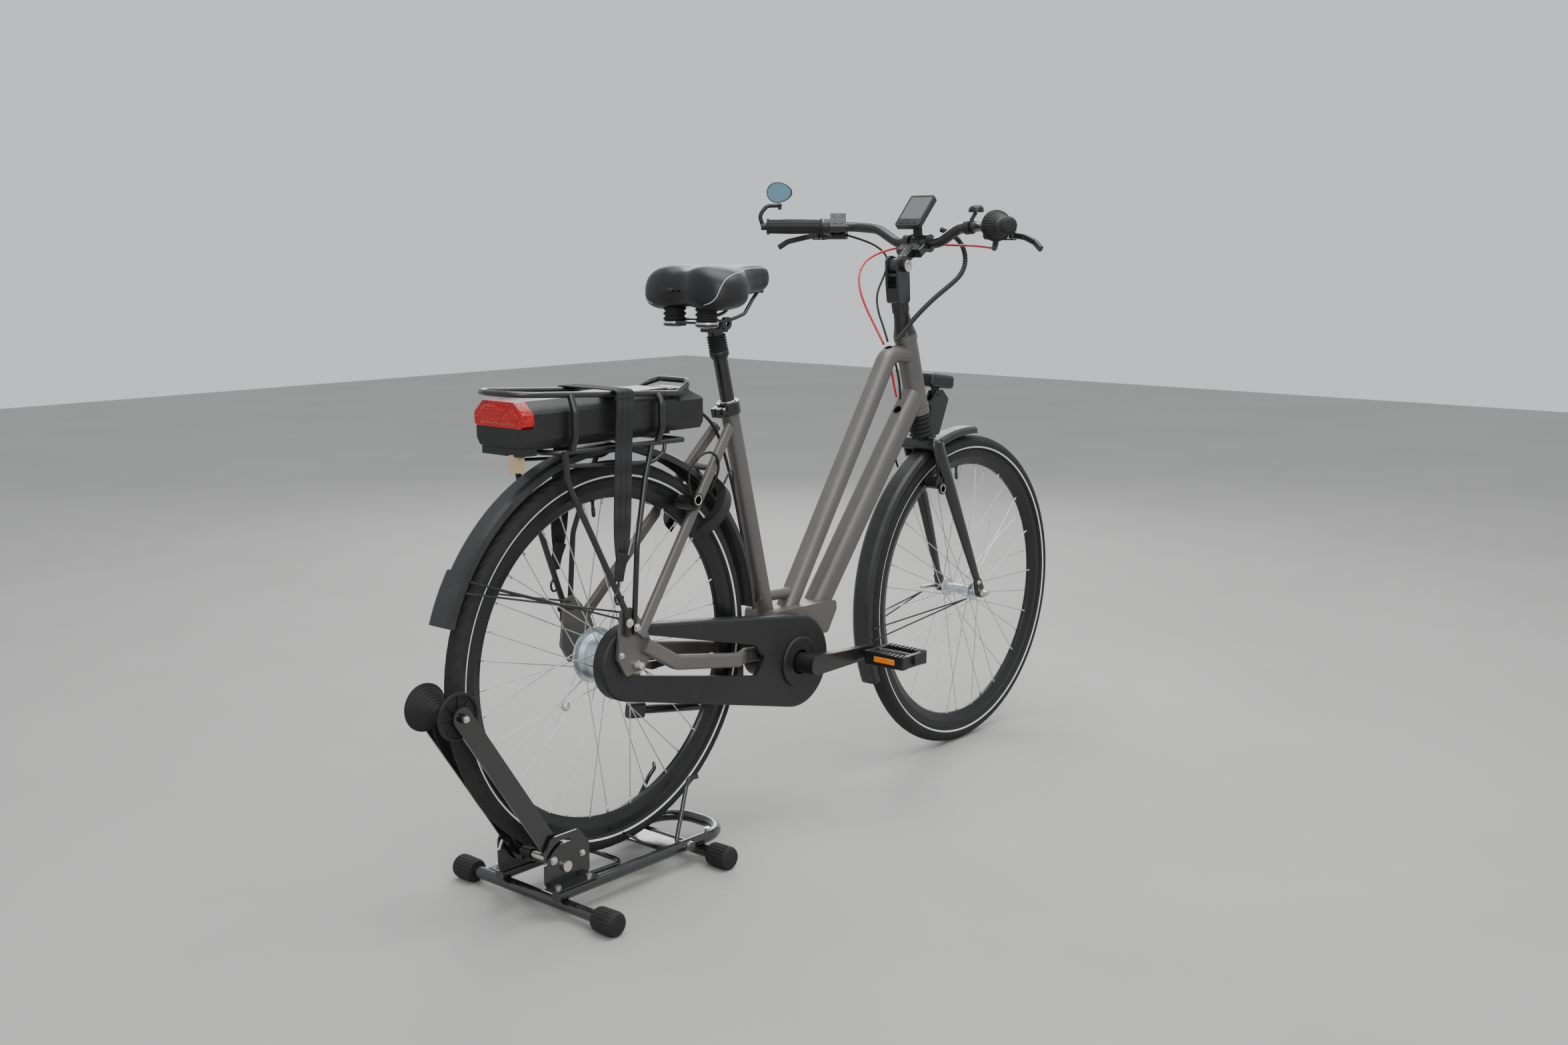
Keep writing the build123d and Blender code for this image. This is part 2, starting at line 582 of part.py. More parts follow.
def crankset():
    """Axle, chainring, two arms and the pedal axles."""
    arm_y = 108.0
    right_pedal = CRANK_AXLE + Vector(CRANK_LENGTH, 0, -5)
    left_pedal = CRANK_AXLE - Vector(CRANK_LENGTH, 0, -5)
    axle = across(CRANK_AXLE, -arm_y, arm_y, 12.0)
    ring = across(CRANK_AXLE, CHAIN_LINE - 2, CHAIN_LINE + 2, CHAINRING_RADIUS - 3)
    crank = axle + ring + across(CRANK_AXLE, -70, CHAIN_LINE, 20)
    for index in range(0, 38):
        turn = index * 360 / 38
        tip = on_circle(CRANK_AXLE, CHAINRING_RADIUS - 3, turn)
        crank = crank + Pos(tip.X, CHAIN_LINE, tip.Z) * Rot(0, -turn, 0) * Box(6, 3, 5)
    for sign, pedal in ((-1, right_pedal), (1, left_pedal)):
        low, high = sorted((sign * (arm_y - 8), sign * (arm_y + 8)))
        arm = flat_plate(
            belt((CRANK_AXLE.X, CRANK_AXLE.Z), 19, (pedal.X, pedal.Z), 12.5), low, high
        )
        crank = crank + arm + across(CRANK_AXLE, *sorted((sign * 74, sign * arm_y)), 20)
        crank = crank + across(pedal, *sorted((sign * (arm_y + 7), sign * (arm_y + 118))), 5.0)
    return [crank]


def pedal(sign):
    """Pedal body: two tread bars and end plates round a central barrel."""
    centre = CRANK_AXLE + Vector(-sign * CRANK_LENGTH, 0, sign * 5)
    x, _, z = centre
    inner = 128.0
    outer = 224.0
    middle = sign * (inner + outer) / 2
    width = outer - inner
    barrel = across(centre, *sorted((sign * inner, sign * outer)), 12)
    body = barrel
    for offset_x in (-33, 33):
        body = body + Pos(x + offset_x, middle, z) * Box(16, width, 26)
    body = body + Pos(x, sign * (inner + 5), z) * Box(66, 10, 24) + Pos(x, sign * (outer - 5), z) * Box(66, 10, 24)
    body = fillet(body.edges().filter_by(Axis.Z), 3.5)
    cap = across(centre, *sorted((sign * (outer - 2), sign * (outer + 6))), 9)
    bore = across(centre, *sorted((sign * (inner - 2), sign * (outer + 3))), 5.08)
    return [body + cap - bore]


def kickstand():
    """Side stand leg, folded back under the left chainstay."""
    hub = across(KICKSTAND_PIVOT, 41, 62, 13)
    leg = bar([(372, 56, 285), (318, 62, 236), (240, 68, 248), (150, 76, 262)], 8.5, [30, 60])
    foot = straight((160, 75.3, 260.4), (128, 78, 265.4), RectangleRounded(20, 30, 6))
    return [hub + leg + foot - across(KICKSTAND_PIVOT, 30, 70, 6.05)]


def kickstand_mount():
    """Fixed bolt of the kickstand, hung from the left chainstay."""
    pin = across(KICKSTAND_PIVOT, 32, 66, 6.0)
    plate = flat_plate(outline([(355, 275), (355, 336), (395, 336), (395, 275)], 6), 30, 40)
    return [pin + plate]


# Saddle

def seatpost():
    """Round post with the guide that the sprung head slides on."""
    low = SEAT_TUBE_TOP - SEAT_AXIS * 170
    shoulder = SEAT_TUBE_TOP + SEAT_AXIS * 100
    high = SEAT_TUBE_TOP + SEAT_AXIS * 134
    tube = rod(low, shoulder, POST_RADIUS) + rod(shoulder - SEAT_AXIS * 12, shoulder, 16)
    bore = rod(low - SEAT_AXIS, high, 11.05)
    return [tube - bore]


def post_head():
    """Sprung head: inner plunger, collar and the cradle that holds the saddle rails."""
    low = SEAT_TUBE_TOP + SEAT_AXIS * 30
    cradle = SADDLE_CLAMP
    plunger = rod(low, cradle - SEAT_AXIS * 4, 11.0)
    collar = rod(SEAT_TUBE_TOP + SEAT_AXIS * 132, SEAT_TUBE_TOP + SEAT_AXIS * 142, 15)
    head = Pos(cradle.X, 0, cradle.Z - 6) * Box(38, 34, 14)
    saddle_pin = across(cradle + Vector(0, 0, 4), -25, 25, 5.0)
    return [plunger + collar + head + saddle_pin]


def saddle_frame():
    """Two steel rails with the spring plate, its two springs and the rail clamp."""
    centre = SADDLE_CLAMP + Vector(0, 0, 4)
    clamp = across(centre, -33, -26.4, 12) + across(centre, 26.4, 33, 12) - across(centre, -40, 40, 5.05)
    frame = clamp
    for sign in (-1, 1):
        rail = bar([(212, sign * 30, 990), (centre.X, sign * 30, centre.Z + 2), (340, sign * 26, 996),
                    (368, sign * 20, 1020), (398, sign * 9, 1036)], 3.5, [200, 25, 20])
        cup = rod((224, sign * 40, 977), (224, sign * 40, 986), 21)
        spring = rod((224, sign * 40, 986), (224, sign * 40, 1016), 17)
        frame = frame + rail + cup + spring
    cross = Pos(224, 0, 984) * Box(30, 80, 5)
    shell_foot = Pos(398, 0, 1036) * Box(16, 30, 8)
    return [frame + cross + shell_foot]


def saddle():
    """Padded saddle: wide rear lobes and a narrow nose."""
    top = 1083.0
    lobes = [Pos(240, y, 0) * Circle(50) for y in (-50, 50)]
    nose = Pos(402, 0, 0) * Circle(19)
    plan = make_hull((lobes[0] + lobes[1]).edges()) + make_hull(
        ((Pos(262, 0, 0) * Circle(62)) + (Pos(330, 0, 0) * Circle(30))).edges()
    ) + make_hull(((Pos(300, 0, 0) * Circle(38)) + nose).edges())
    body = Pos(0, 0, 1022) * extrude(plan, amount=top - 1022)
    under = Pos(380, 0, 1018) * Rot(0, -8, 0) * Box(170, 100, 28)
    body = body - under
    body = fillet(body.faces().sort_by(Axis.Z)[-1].edges(), 14)
    return [body]


# Front end

def stem_post():
    """Steerer and the forked post that carries the stem head."""
    steerer = rod(along_steerer(-28), along_steerer(182), 14.0)
    bearings = [
        rod(along_steerer(2), along_steerer(10), 17.9, 14.0),
        rod(along_steerer(168), along_steerer(176), 17.9, 14.0),
    ]
    flare_low = HEAD_TOP + STEER_AXIS * 0.4
    skirt = loft([
        Plane(origin=flare_low, z_dir=STEER_AXIS) * Circle(HEAD_RADIUS + 1),
        Plane(origin=flare_low + STEER_AXIS * 34, z_dir=STEER_AXIS) * Circle(17.5),
        Plane(origin=flare_low + STEER_AXIS * 50, z_dir=STEER_AXIS) * Circle(16.5),
    ])
    post = straight(flare_low + STEER_AXIS * 48, (848, 0, 1030), RectangleRounded(34, 36, 15))
    fork_plate = flat_plate(
        outline([(868, 1000), (866, 1050), (862, 1092), (838, 1098), (824, 1088), (826, 1040), (832, 998)], 8), -17, 17
    )
    gap = flat_plate(belt((STEM_PIVOT.X, STEM_PIVOT.Z), 17.5, (STEM_PIVOT.X + 6, STEM_PIVOT.Z + 60), 30), -11.5, 11.5)
    rear_slot = flat_plate(outline([(800, 1030), (800, 1100), (846, 1100), (846, 1030)], 6), -11.5, 11.5)
    front_slot = flat_plate(outline([(840, 1054), (840, 1110), (890, 1110), (890, 1054)], 2), -11.5, 11.5)
    pin = across(STEM_PIVOT, -19, 19, 5.0)
    cap = across(STEM_PIVOT, -27, -17, 12)
    return [skirt + post + fork_plate - gap - rear_slot - front_slot + pin + cap + steerer, bearings[0], bearings[1]]


def stem_arm():
    """Stem head: a hub on the pivot, a beam and two arms that clamp the bar."""
    hub = across(STEM_PIVOT, -11, 11, 16)
    beam = straight(STEM_PIVOT + Vector(4, 0, 3), (893, 0, 1107), RectangleRounded(22, 22, 5))
    yoke = straight((884, 0, 1101), (904, 0, 1113.5), RectangleRounded(62, 20, 5))
    arms = hub + beam + yoke
    for side in both_sides(across(BAR_CENTRE, 16, 31, 19)):
        arms = arms + side
    return [arms - across(BAR_CENTRE, -60, 60, BAR_RADIUS) - across(STEM_PIVOT, -30, 30, 5.05)]


def handlebar():
    """Swept-back bar."""
    half = [(917, 53, 1122), (914, 104, 1152), tuple(BAR_BEND), tuple(BAR_TIP)]
    right_half = [(x, -y, z) for x, y, z in reversed(half)]
    return [bar(right_half + half, BAR_RADIUS, [50, 50, 60, 60, 50, 50])]


def bar_point(station):
    """Point on a straight end of the bar. Station counts along it to 298 at the tip, and is negative on the right."""
    point = BAR_TIP + (BAR_BEND - BAR_TIP).normalized() * (298 - abs(station))
    return Vector(point.X, math.copysign(point.Y, station), point.Z)


def grips():
    """Left grip with its end plug, and the shorter right grip."""
    left = rod(bar_point(182), bar_point(296), 16.5, BAR_RADIUS) + rod(bar_point(296), bar_point(303), 16.5)
    right = rod(bar_point(-268), bar_point(-300), 17.5, BAR_RADIUS) + rod(bar_point(-299), bar_point(-304), 15)
    return [left - rod(bar_point(180), bar_point(298.2), BAR_RADIUS), right - rod(bar_point(-180), bar_point(-298.2), BAR_RADIUS)]


def lever_pivot(sign):
    """Centre of a brake lever's pivot."""
    return bar_point(sign * 172) + Vector(21, sign * 42, -18)


def brake_masters():
    """Clamp, master cylinder and pivot ears of each brake lever."""
    pieces = []
    for sign in (-1, 1):
        centre = bar_point(sign * 172)
        pivot = lever_pivot(sign)
        clamp = rod(bar_point(sign * 166), bar_point(sign * 180), 17, BAR_RADIUS)
        body = rod(centre + Vector(33, -sign * 27, -18), centre + Vector(18, sign * 27, -18), 9.5)
        link = straight(centre + Vector(3, sign * 2, -6), centre + Vector(21, sign * 5, -16), RectangleRounded(14, 16, 4))
        piece = clamp + body + (link - rod(bar_point(sign * 140), bar_point(sign * 200), 14))
        for height in (-9, 9):
            piece = piece + Pos(pivot + Vector(-3, -sign * 6, height)) * Box(18, 26, 3)
        pieces.append(piece + rod(pivot - Vector(0, 0, 10), pivot + Vector(0, 0, 10), 2.5))
    return pieces


def brake_lever(sign):
    """Two-finger brake lever with its pivot boss."""
    pivot = lever_pivot(sign)
    boss = rod(pivot - Vector(0, 0, 7), pivot + Vector(0, 0, 7), 7)
    blade = swept(
        [pivot, pivot + Vector(-1, sign * 31, -4), pivot + Vector(-23, sign * 68, -14), pivot + Vector(-31, sign * 87, -27)],
        RectangleRounded(9, 12, 3), [40, 20], (1, 0, 0),
    )
    return [boss + blade - rod(pivot - Vector(0, 0, 20), pivot + Vector(0, 0, 20), 2.55)]


def twist_shifter():
    """Turning part of the shifter with its flange."""
    near = bar_point(-224)
    far = bar_point(-266)
    flange = rod(bar_point(-219), near, 31)
    grip = loft([Plane(origin=near, z_dir=far - near) * Circle(26), Plane(origin=far, z_dir=far - near) * Circle(18.5)])
    return [flange + grip - rod(bar_point(-210), bar_point(-280), BAR_RADIUS + 0.06)]


def shifter_housing():
    """Fixed housing of the shifter with its cable outlet."""
    ring = rod(bar_point(-202), bar_point(-218.5), 26)
    spout = bar([bar_point(-210), bar_point(-210) + Vector(6, 0, -34), bar_point(-210) + Vector(22, 14, -44)], 6, [12])
    return [ring + spout - rod(bar_point(-195), bar_point(-225), BAR_RADIUS)]


def switch_place():
    """Placement of the control box: its rocker faces up and back, towards the rider."""
    return Pos(bar_point(149) + Vector(-7, -6, 8)) * Rot(0, 0, BAR_SWEEP) * Rot(0, SWITCH_TILT, 0)


def switch_unit():
    """Square control box on the bar beside the left brake clamp."""
    clamp = rod(bar_point(144), bar_point(157), 13.4, BAR_RADIUS)
    box = switch_place() * Box(22, 34, 34)
    core = rod(bar_point(110), bar_point(185), BAR_RADIUS)
    well = switch_place() * Pos(-10, 0, 0) * Box(8, 20, 22)
    return [box + clamp - core - well]


def switch_rocker():
    """Rocker button in the control box."""
    return [switch_place() * Pos(-9.6, 0, 0) * Box(5, 19, 21)]


def bell():
    """Bell dome on its clamp."""
    foot = Vector(909.3, -134, 1154.6)
    run = Vector(9, 58, -5).normalized()
    top = foot + Vector(11, -8, 30)
    clamp = rod(foot - run * 8, foot + run * 8, 14.5) - handlebar()[0]
    stalk = rod(foot + Vector(3, 0, 12), top, 4)
    dome = rod(top, top + Vector(0, 0, 15), 16)
    dome = fillet(dome.faces().sort_by(Axis.Z)[-1].edges(), 10)
    return [clamp + stalk + dome]


def mirror_arm():
    """Curved arm from the end plug of the left grip, with the ball of the mirror head."""
    root = bar_point(311)
    path = [root, root + Vector(-7, 4, 24), root + Vector(6, -6, 44), root + Vector(28, -20, 45)]
    ball = Pos(root + Vector(30, -22, 45)) * Sphere(5)
    ball = ball + rod(root + Vector(30, -22, 36), root + Vector(30, -22, 45), 4)
    return [bar(path, 4.5, [18, 14]) + rod(bar_point(303.2), bar_point(315), 8) + ball]


def mirror_centre():
    """Centre of the mirror head."""
    return Vector(812, 294, 1229.6)


def mirror_head():
    """Oval mirror head facing the rider."""
    plane = Plane(origin=mirror_centre(), x_dir=(-0.4, 0.917, 0), z_dir=(-0.917, -0.4, 0))
    return [extrude(plane * Ellipse(29, 22), amount=5, both=True)]


def display():
    """Display on its arm above the stem."""
    plane = Plane(origin=(907, 0, 1186), x_dir=(0, 1, 0), z_dir=(-0.72, 0, 0.69))
    body = extrude(plane * RectangleRounded(62, 86, 5), amount=6, both=True)
    foot = straight((911, 0, 1180), (916, 0, 1134), RectangleRounded(20, 10, 3))
    clamp = across(BAR_CENTRE, -12, 12, 15)
    return [body + (foot + clamp) - across(BAR_CENTRE, -20, 20, BAR_RADIUS + 0.05)]


def fork_leg_section(width, depth):
    """Oval section of a fork blade."""
    return Ellipse(width / 2, depth / 2)


def fork():
    """Fork crown, two tapered blades and dropouts, with the sprung sleeve below the head tube."""
    crown_top = along_steerer(-34)
    sleeve = rod(crown_top, along_steerer(-70), 19)
    crown = Pos(944, 0, 692) * Rot(0, 17, 0) * Box(44, 92, 26)
    crown = fillet(crown.edges(), 8)
    fork_body = sleeve + crown - rod(along_steerer(-20), along_steerer(-64), 14.1)
    for sign in (-1, 1):
        upper = Plane(origin=(943, sign * 37, 698), z_dir=(0.35, 0, -1), x_dir=(0, 1, 0))
        middle = Plane(origin=(1006, sign * 42, 560), z_dir=(0.38, 0, -1), x_dir=(0, 1, 0))
        lower = Plane(origin=(1086, sign * 53.5, 374), z_dir=(0.4, 0, -1), x_dir=(0, 1, 0))
        blade = loft([
            upper * fork_leg_section(22, 40),
            middle * fork_leg_section(20, 32),
            lower * fork_leg_section(11, 20),
        ])
        tip = flat_plate(belt((1086, 374), 9, (FRONT_AXLE.X, FRONT_AXLE.Z), 12), *sorted((sign * 48, sign * 59)))
        fork_body = fork_body + blade + tip
    fork_body = fork_body - across(FRONT_AXLE, -80, 80, 4.6)
    tyre_room = turned([(280, -30), (TYRE_RADIUS + 6, -30), (TYRE_RADIUS + 22, -24), (TYRE_RADIUS + 22, 24),
                        (TYRE_RADIUS + 6, 30), (280, 30)], FRONT_AXLE)
    return [fork_body - tyre_room]


def front_mudguard():
    """Curved guard over the front tyre with its two wire stays."""
    guard = turned(guard_section(TYRE_RADIUS + 21, GUARD_WIDTH), FRONT_AXLE, 118, 86)
    wires = []
    for turn in (188, 184):
        tip = on_circle(FRONT_AXLE, TYRE_RADIUS + 8, turn, 0)
        wires += both_sides(rod((tip.X, 24.8, tip.Z), (FRONT_AXLE.X - 62, 60, FRONT_AXLE.Z - 4), 1.75))
    return [guard] + wires


def front_brake():
    """Front rim brake behind the fork blades."""
    return brake(FRONT_AXLE, 121, 50, (972, 40, 606))


def headlight():
    """Headlight body, hung on its bracket's bolt."""
    body = Pos(988, 0, 828) * Rot(0, 8, 0) * Box(84, 46, 30)
    body = fillet(body.edges(), 9)
    tongue = flat_plate(belt((HEADLIGHT_PIVOT.X, HEADLIGHT_PIVOT.Z), 8, (987, 818), 8), -5.5, 5.5)
    return [body + tongue - across(HEADLIGHT_PIVOT, -10, 10, 3.05)]


def headlight_bracket():
    """Upright bracket from the fork crown."""
    blade = flat_plate(outline([(956, 708), (958, 778), (976, 808), (1002, 808), (1024, 786), (990, 712)], 5), -10, 10)
    slot = Pos(HEADLIGHT_PIVOT.X, 0, HEADLIGHT_PIVOT.Z + 4) * Box(70, 11.8, 30)
    pin = across(HEADLIGHT_PIVOT, -12, 12, 3.0)
    foot = Pos(962, 0, 712) * Box(26, 24, 14)
    sleeve_room = rod(along_steerer(-72), along_steerer(40), 19)
    head_room = rod(along_steerer(-31), along_steerer(40), HEAD_RADIUS + 1.5)
    return [blade - slot + pin + foot - sleeve_room - head_room]


# Cables

def cord(name, points, radius):
    """Cable along a route, with each arc as large as its two runs allow."""
    points = [Vector(*point) for point in points]
    bends = []
    for before, here, after in zip(points, points[1:], points[2:]):
        turn = math.radians((here - before).get_angle(after - here))
        shorter = min((here - before).length, (after - here).length)
        bends.append(0.45 * shorter / math.tan(turn / 2))
    print(name, "bend radii", [round(bend) for bend in bends])
    return bar(points, radius, bends)


CONTROL_ROUTES = {
    "shift_cable": (2.4, [
        (874.6, -222.3, 1112), (893, -180, 1116), (914, -128, 1118), (936, -70, 1118), (950, -14, 1120), (940, 38, 1116),
        (904, 72, 1108), (858, 86, 1092), (818, 80, 1066), (800, 66, 1030), (798, 46, 990), (804, 26, 952), (812, 8, 914),
    ]),
    "left_hose": (2.4, [
        (901.6, 180.6, 1139), (914, 140, 1128), (926, 104, 1110), (916, 76, 1086), (886, 64, 1056), (852, 60, 1018),
        (834, 42, 982), (828, 22, 950), (822, 6, 920),
    ]),
    "loom": (5.5, [
        (944, -40, 1150), (980, -46, 1140), (1008, -52, 1116), (1014, -56, 1084), (994, -58, 1056), (954, -56, 1034),
        (914, -50, 1012), (880, -40, 986), (850, -26, 954), (830, -12, 922),
    ]),
}


def control_cables():
    """Shift cable, brake hose and wrapped loom between the bar and the frame."""
    return [cord(name, points, radius) for name, (radius, points) in CONTROL_ROUTES.items()]


def frame_cables():
    """Battery lead and the cable down the back of the seat tube."""
    lead = [(194.7, 0, 838), (244, 0, 830), (313, 0, 758), (389, 0, 454), (402, 0, 438)]
    return [bar(lead, 3.0, [40, 60, 20])]


NODES = {
    "stand_frame": stand_frame(),
    "stand_feet": stand_feet(),
    "stand_side_plates": stand_side_plates(),
    "stand_bolts": stand_bolts(),
    "stand_arm": stand_arm(),
    "stand_rollers": stand_rollers(),
    "main_frame": main_frame(),
    "seat_clamp": seat_clamp(),
    "rear_stays": rear_stays() + kickstand_mount(),
    "drive_unit": drive_unit(),
    "chain_case": chain_case(),
    "chain": chain(),
    "rear_mudguard": rear_mudguard(),
    "rack": rack(),
    "rack_straps": rack_straps(),
    "battery": battery(),
    "tail_light": tail_light(),
    "battery_dock": battery_dock(),
    "ring_lock": ring_lock(),
    "lock_shackle": lock_shackle(),
    "rear_brake": rear_brake(),
    "rear_axle": rear_axle(),
    "rear_tyre": tyre(REAR_AXLE),
    "rear_rim": rim(REAR_AXLE),
    "rear_spokes": spokes(REAR_AXLE, 45.0, 30.0, 28),
    "rear_hub": rear_hub(),
    "rear_sprocket": rear_sprocket(),
    "crankset": crankset(),
    "pedal_right": pedal(-1),
    "pedal_left": pedal(1),
    "kickstand": kickstand(),
    "seatpost": seatpost(),
    "post_head": post_head(),
    "saddle_frame": saddle_frame(),
    "saddle": saddle(),
    "stem_post": stem_post(),
    "stem_arm": stem_arm(),
    "handlebar": handlebar(),
    "grips": grips(),
    "bar_clamps": brake_masters() + shifter_housing(),
    "brake_lever_left": brake_lever(1),
    "brake_lever_right": brake_lever(-1),
    "twist_shifter": twist_shifter(),
    "switch_unit": switch_unit(),
    "switch_rocker": switch_rocker(),
    "bell": bell(),
    "mirror_arm": mirror_arm(),
    "mirror_head": mirror_head(),
    "display": display(),
    "fork": fork() + headlight_bracket(),
    "front_mudguard": front_mudguard(),
    "front_brake": front_brake(),
    "front_axle": front_axle(),
    "headlight": headlight(),
    "front_tyre": tyre(FRONT_AXLE),
    "front_rim": rim(FRONT_AXLE),
    "front_spokes": spokes(FRONT_AXLE, 19.0, 34.5, 62),
    "front_hub": front_hub(),
    "control_cables": control_cables(),
    "frame_cables": frame_cables(),
}

os.makedirs("parts", exist_ok=True)
for node, pieces in NODES.items():
    solids = [solid for piece in pieces for solid in piece.solids()]
    placed = Pos(-ORIGIN_X, 0, 0) * Compound(solids)
    export_step(placed, f"parts/{node}.step")
    print(node, len(solids), round(sum(solid.volume for solid in solids)))
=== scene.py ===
"""City bicycle in a floor stand: the looks of its frame, wheels, soft parts, controls and stand.

Every piece is made in the frame's own metres, with +X towards the front wheel, +Y to the rider's
left and +Z up. Pieces that the frame already shapes well only get a material.
"""
import math

import bpy
import numpy as np
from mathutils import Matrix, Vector


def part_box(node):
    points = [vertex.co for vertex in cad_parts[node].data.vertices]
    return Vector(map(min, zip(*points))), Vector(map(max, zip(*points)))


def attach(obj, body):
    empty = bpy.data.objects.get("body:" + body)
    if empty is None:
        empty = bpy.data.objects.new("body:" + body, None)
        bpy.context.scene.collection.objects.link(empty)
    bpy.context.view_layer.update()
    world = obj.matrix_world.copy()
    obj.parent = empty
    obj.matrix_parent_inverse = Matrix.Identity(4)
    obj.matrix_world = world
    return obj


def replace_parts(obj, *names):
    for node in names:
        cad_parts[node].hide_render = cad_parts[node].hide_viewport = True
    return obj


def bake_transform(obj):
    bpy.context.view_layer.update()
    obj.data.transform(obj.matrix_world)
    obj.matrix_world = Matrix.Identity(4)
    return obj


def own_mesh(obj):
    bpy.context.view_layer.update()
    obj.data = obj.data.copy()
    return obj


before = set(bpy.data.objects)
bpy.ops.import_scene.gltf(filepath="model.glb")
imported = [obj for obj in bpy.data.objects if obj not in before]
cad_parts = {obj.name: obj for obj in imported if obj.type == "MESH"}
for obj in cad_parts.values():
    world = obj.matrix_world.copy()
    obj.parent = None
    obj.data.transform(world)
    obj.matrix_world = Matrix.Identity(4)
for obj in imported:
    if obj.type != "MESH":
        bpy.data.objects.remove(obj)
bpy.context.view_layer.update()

TURN = 2 * math.pi
MM = 0.001

# Places, in millimetres from the rear axle's foot; place() brings them into the frame
ORIGIN_X = 522.5


def place(x, y, z):
    """A point given from the foot of the rear axle, in the frame's metres."""
    return np.array([(x - ORIGIN_X) * MM, y * MM, z * MM])


def middle(node):
    """Middle of a node's box."""
    low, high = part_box(node)
    return (np.array(low) + np.array(high)) / 2


def unit(vector):
    """Direction of a vector, with length 1."""
    vector = np.asarray(vector, float)
    return vector / np.linalg.norm(vector)


SIDES = ((-1, "right"), (1, "left"))
REAR_AXLE = middle("rear_tyre")
FRONT_AXLE = middle("front_tyre")
CRANK_AXLE = place(449, 0, 320)
SEAT_TOP = place(322, 0, 831)
SEAT_AXIS = unit(SEAT_TOP - CRANK_AXLE)
HEAD_FOOT = place(925, 0, 763.5)
STEER_AXIS = unit(place(873, 0, 935) - HEAD_FOOT)
TYRE_RADIUS = 0.349
TYRE_HALF = 0.0185
TYRE_CENTRE = TYRE_RADIUS - TYRE_HALF
SPOKE_COUNT = 36


# ---------------------------------------------------------------- shader maths


class Socket:
    """An output socket that takes part in arithmetic by adding Math nodes."""

    def __init__(self, material, output):
        self.material = material
        self.output = output

    def maths(self, operation, *values):
        return self.material.node("ShaderNodeMath", {"operation": operation}, dict(enumerate(values)))

    def __add__(self, other):
        return self.maths("ADD", self, other)

    def __mul__(self, other):
        return self.maths("MULTIPLY", self, other)

    __radd__ = __add__
    __rmul__ = __mul__


class Finish:
    """A material with one Principled shader, built up from named features."""

    def __init__(self, name, **sockets):
        self.material = bpy.data.materials.new(name)
        self.material.use_nodes = True
        self.nodes = self.material.node_tree.nodes
        self.links = self.material.node_tree.links
        self.shader = self.nodes["Principled BSDF"]
        self.set(**sockets)

    def node(self, kind, settings, inputs, output=0):
        """Adds a node: its settings first, then the values or links of its inputs."""
        made = self.nodes.new(kind)
        for key, value in settings.items():
            setattr(made, key, value)
        for key, value in inputs.items():
            self.feed(made.inputs[key], value)
        return Socket(self, made.outputs[output])

    def feed(self, target, value):
        """Links a socket or sets a value on an input."""
        if isinstance(value, Socket):
            self.links.new(value.output, target)
        elif hasattr(value, "__len__") and len(value) == 3 and target.type == "RGBA":
            target.default_value = (*value, 1)
        else:
            target.default_value = value

    def set(self, **sockets):
        """Sets sockets of the Principled shader; underscores stand for spaces."""
        for key, value in sockets.items():
            self.feed(self.shader.inputs[key.replace("_", " ")], value)

    def where(self):
        """Object coordinates."""
        return self.node("ShaderNodeTexCoord", {}, {}, "Object")

    def noise(self, scale, detail=3.0, roughness=0.5, vector=None):
        """Cloudy noise from 0 to 1, on object coordinates unless a vector is given."""
        return self.node("ShaderNodeTexNoise", {}, {
            "Vector": vector or self.where(), "Scale": scale, "Detail": detail, "Roughness": roughness,
        })

    def cells(self, scale, feature="F1"):
        """Distance into the cells of a random pattern, or to their edges."""
        return self.node("ShaderNodeTexVoronoi", {"feature": feature}, {
            "Vector": self.where(), "Scale": scale,
        })

    def wave(self, scale, direction):
        """Straight bands that repeat along one axis."""
        return self.node("ShaderNodeTexWave", {"bands_direction": direction}, {
            "Vector": self.where(), "Scale": scale,
        })

    def between(self, value, low, high, start, end):
        """Value carried from one range to another, clamped."""
        return self.node("ShaderNodeMapRange", {}, {
            "Value": value, "From Min": start, "From Max": end, "To Min": low, "To Max": high,
        })

    def mix(self, share, first, second):
        """Colour between two colours."""
        return self.node("ShaderNodeMix", {"data_type": "RGBA"}, {0: share, 6: first, 7: second}, 2)

    def bump(self, height, strength, distance):
        """Tilts the normal as if the surface rose by height times distance."""
        self.set(Normal=self.node("ShaderNodeBump", {}, {
            "Height": height, "Strength": strength, "Distance": distance,
        }))


def grey(value, warmth=0.0):
    """A near-neutral colour, warmer for a positive warmth."""
    return (value * (1 + warmth), value, value * (1 - warmth))


def paint(name, colour, flake, roughness, coat):
    """Sprayed paint: fine metal flake, slow colour drift and handling marks in the gloss."""
    made = Finish(name, Metallic=flake, Coat_Weight=coat, Coat_Roughness=0.12)
    drift = made.noise(9, 4)
    sparkle = made.cells(2600)
    glint = made.between(sparkle, -0.05 * flake, 0.05 * flake, 0.1, 0.6)
    tone = made.between(drift, 0.9, 1.08, 0.3, 0.7) + glint
    shade = made.node("ShaderNodeMix", {"data_type": "RGBA", "blend_type": "MULTIPLY"}, {
        0: 1.0, 6: colour, 7: made.node("ShaderNodeCombineColor", {}, {0: tone, 1: tone, 2: tone}),
    }, 2)
    rub = made.noise(40, 6, 0.7)
    made.set(Base_Color=shade, Roughness=made.between(rub, roughness - 0.05, roughness + 0.1, 0.35, 0.65))
    made.bump(made.noise(900, 2), 0.04, 0.0003)
    return made


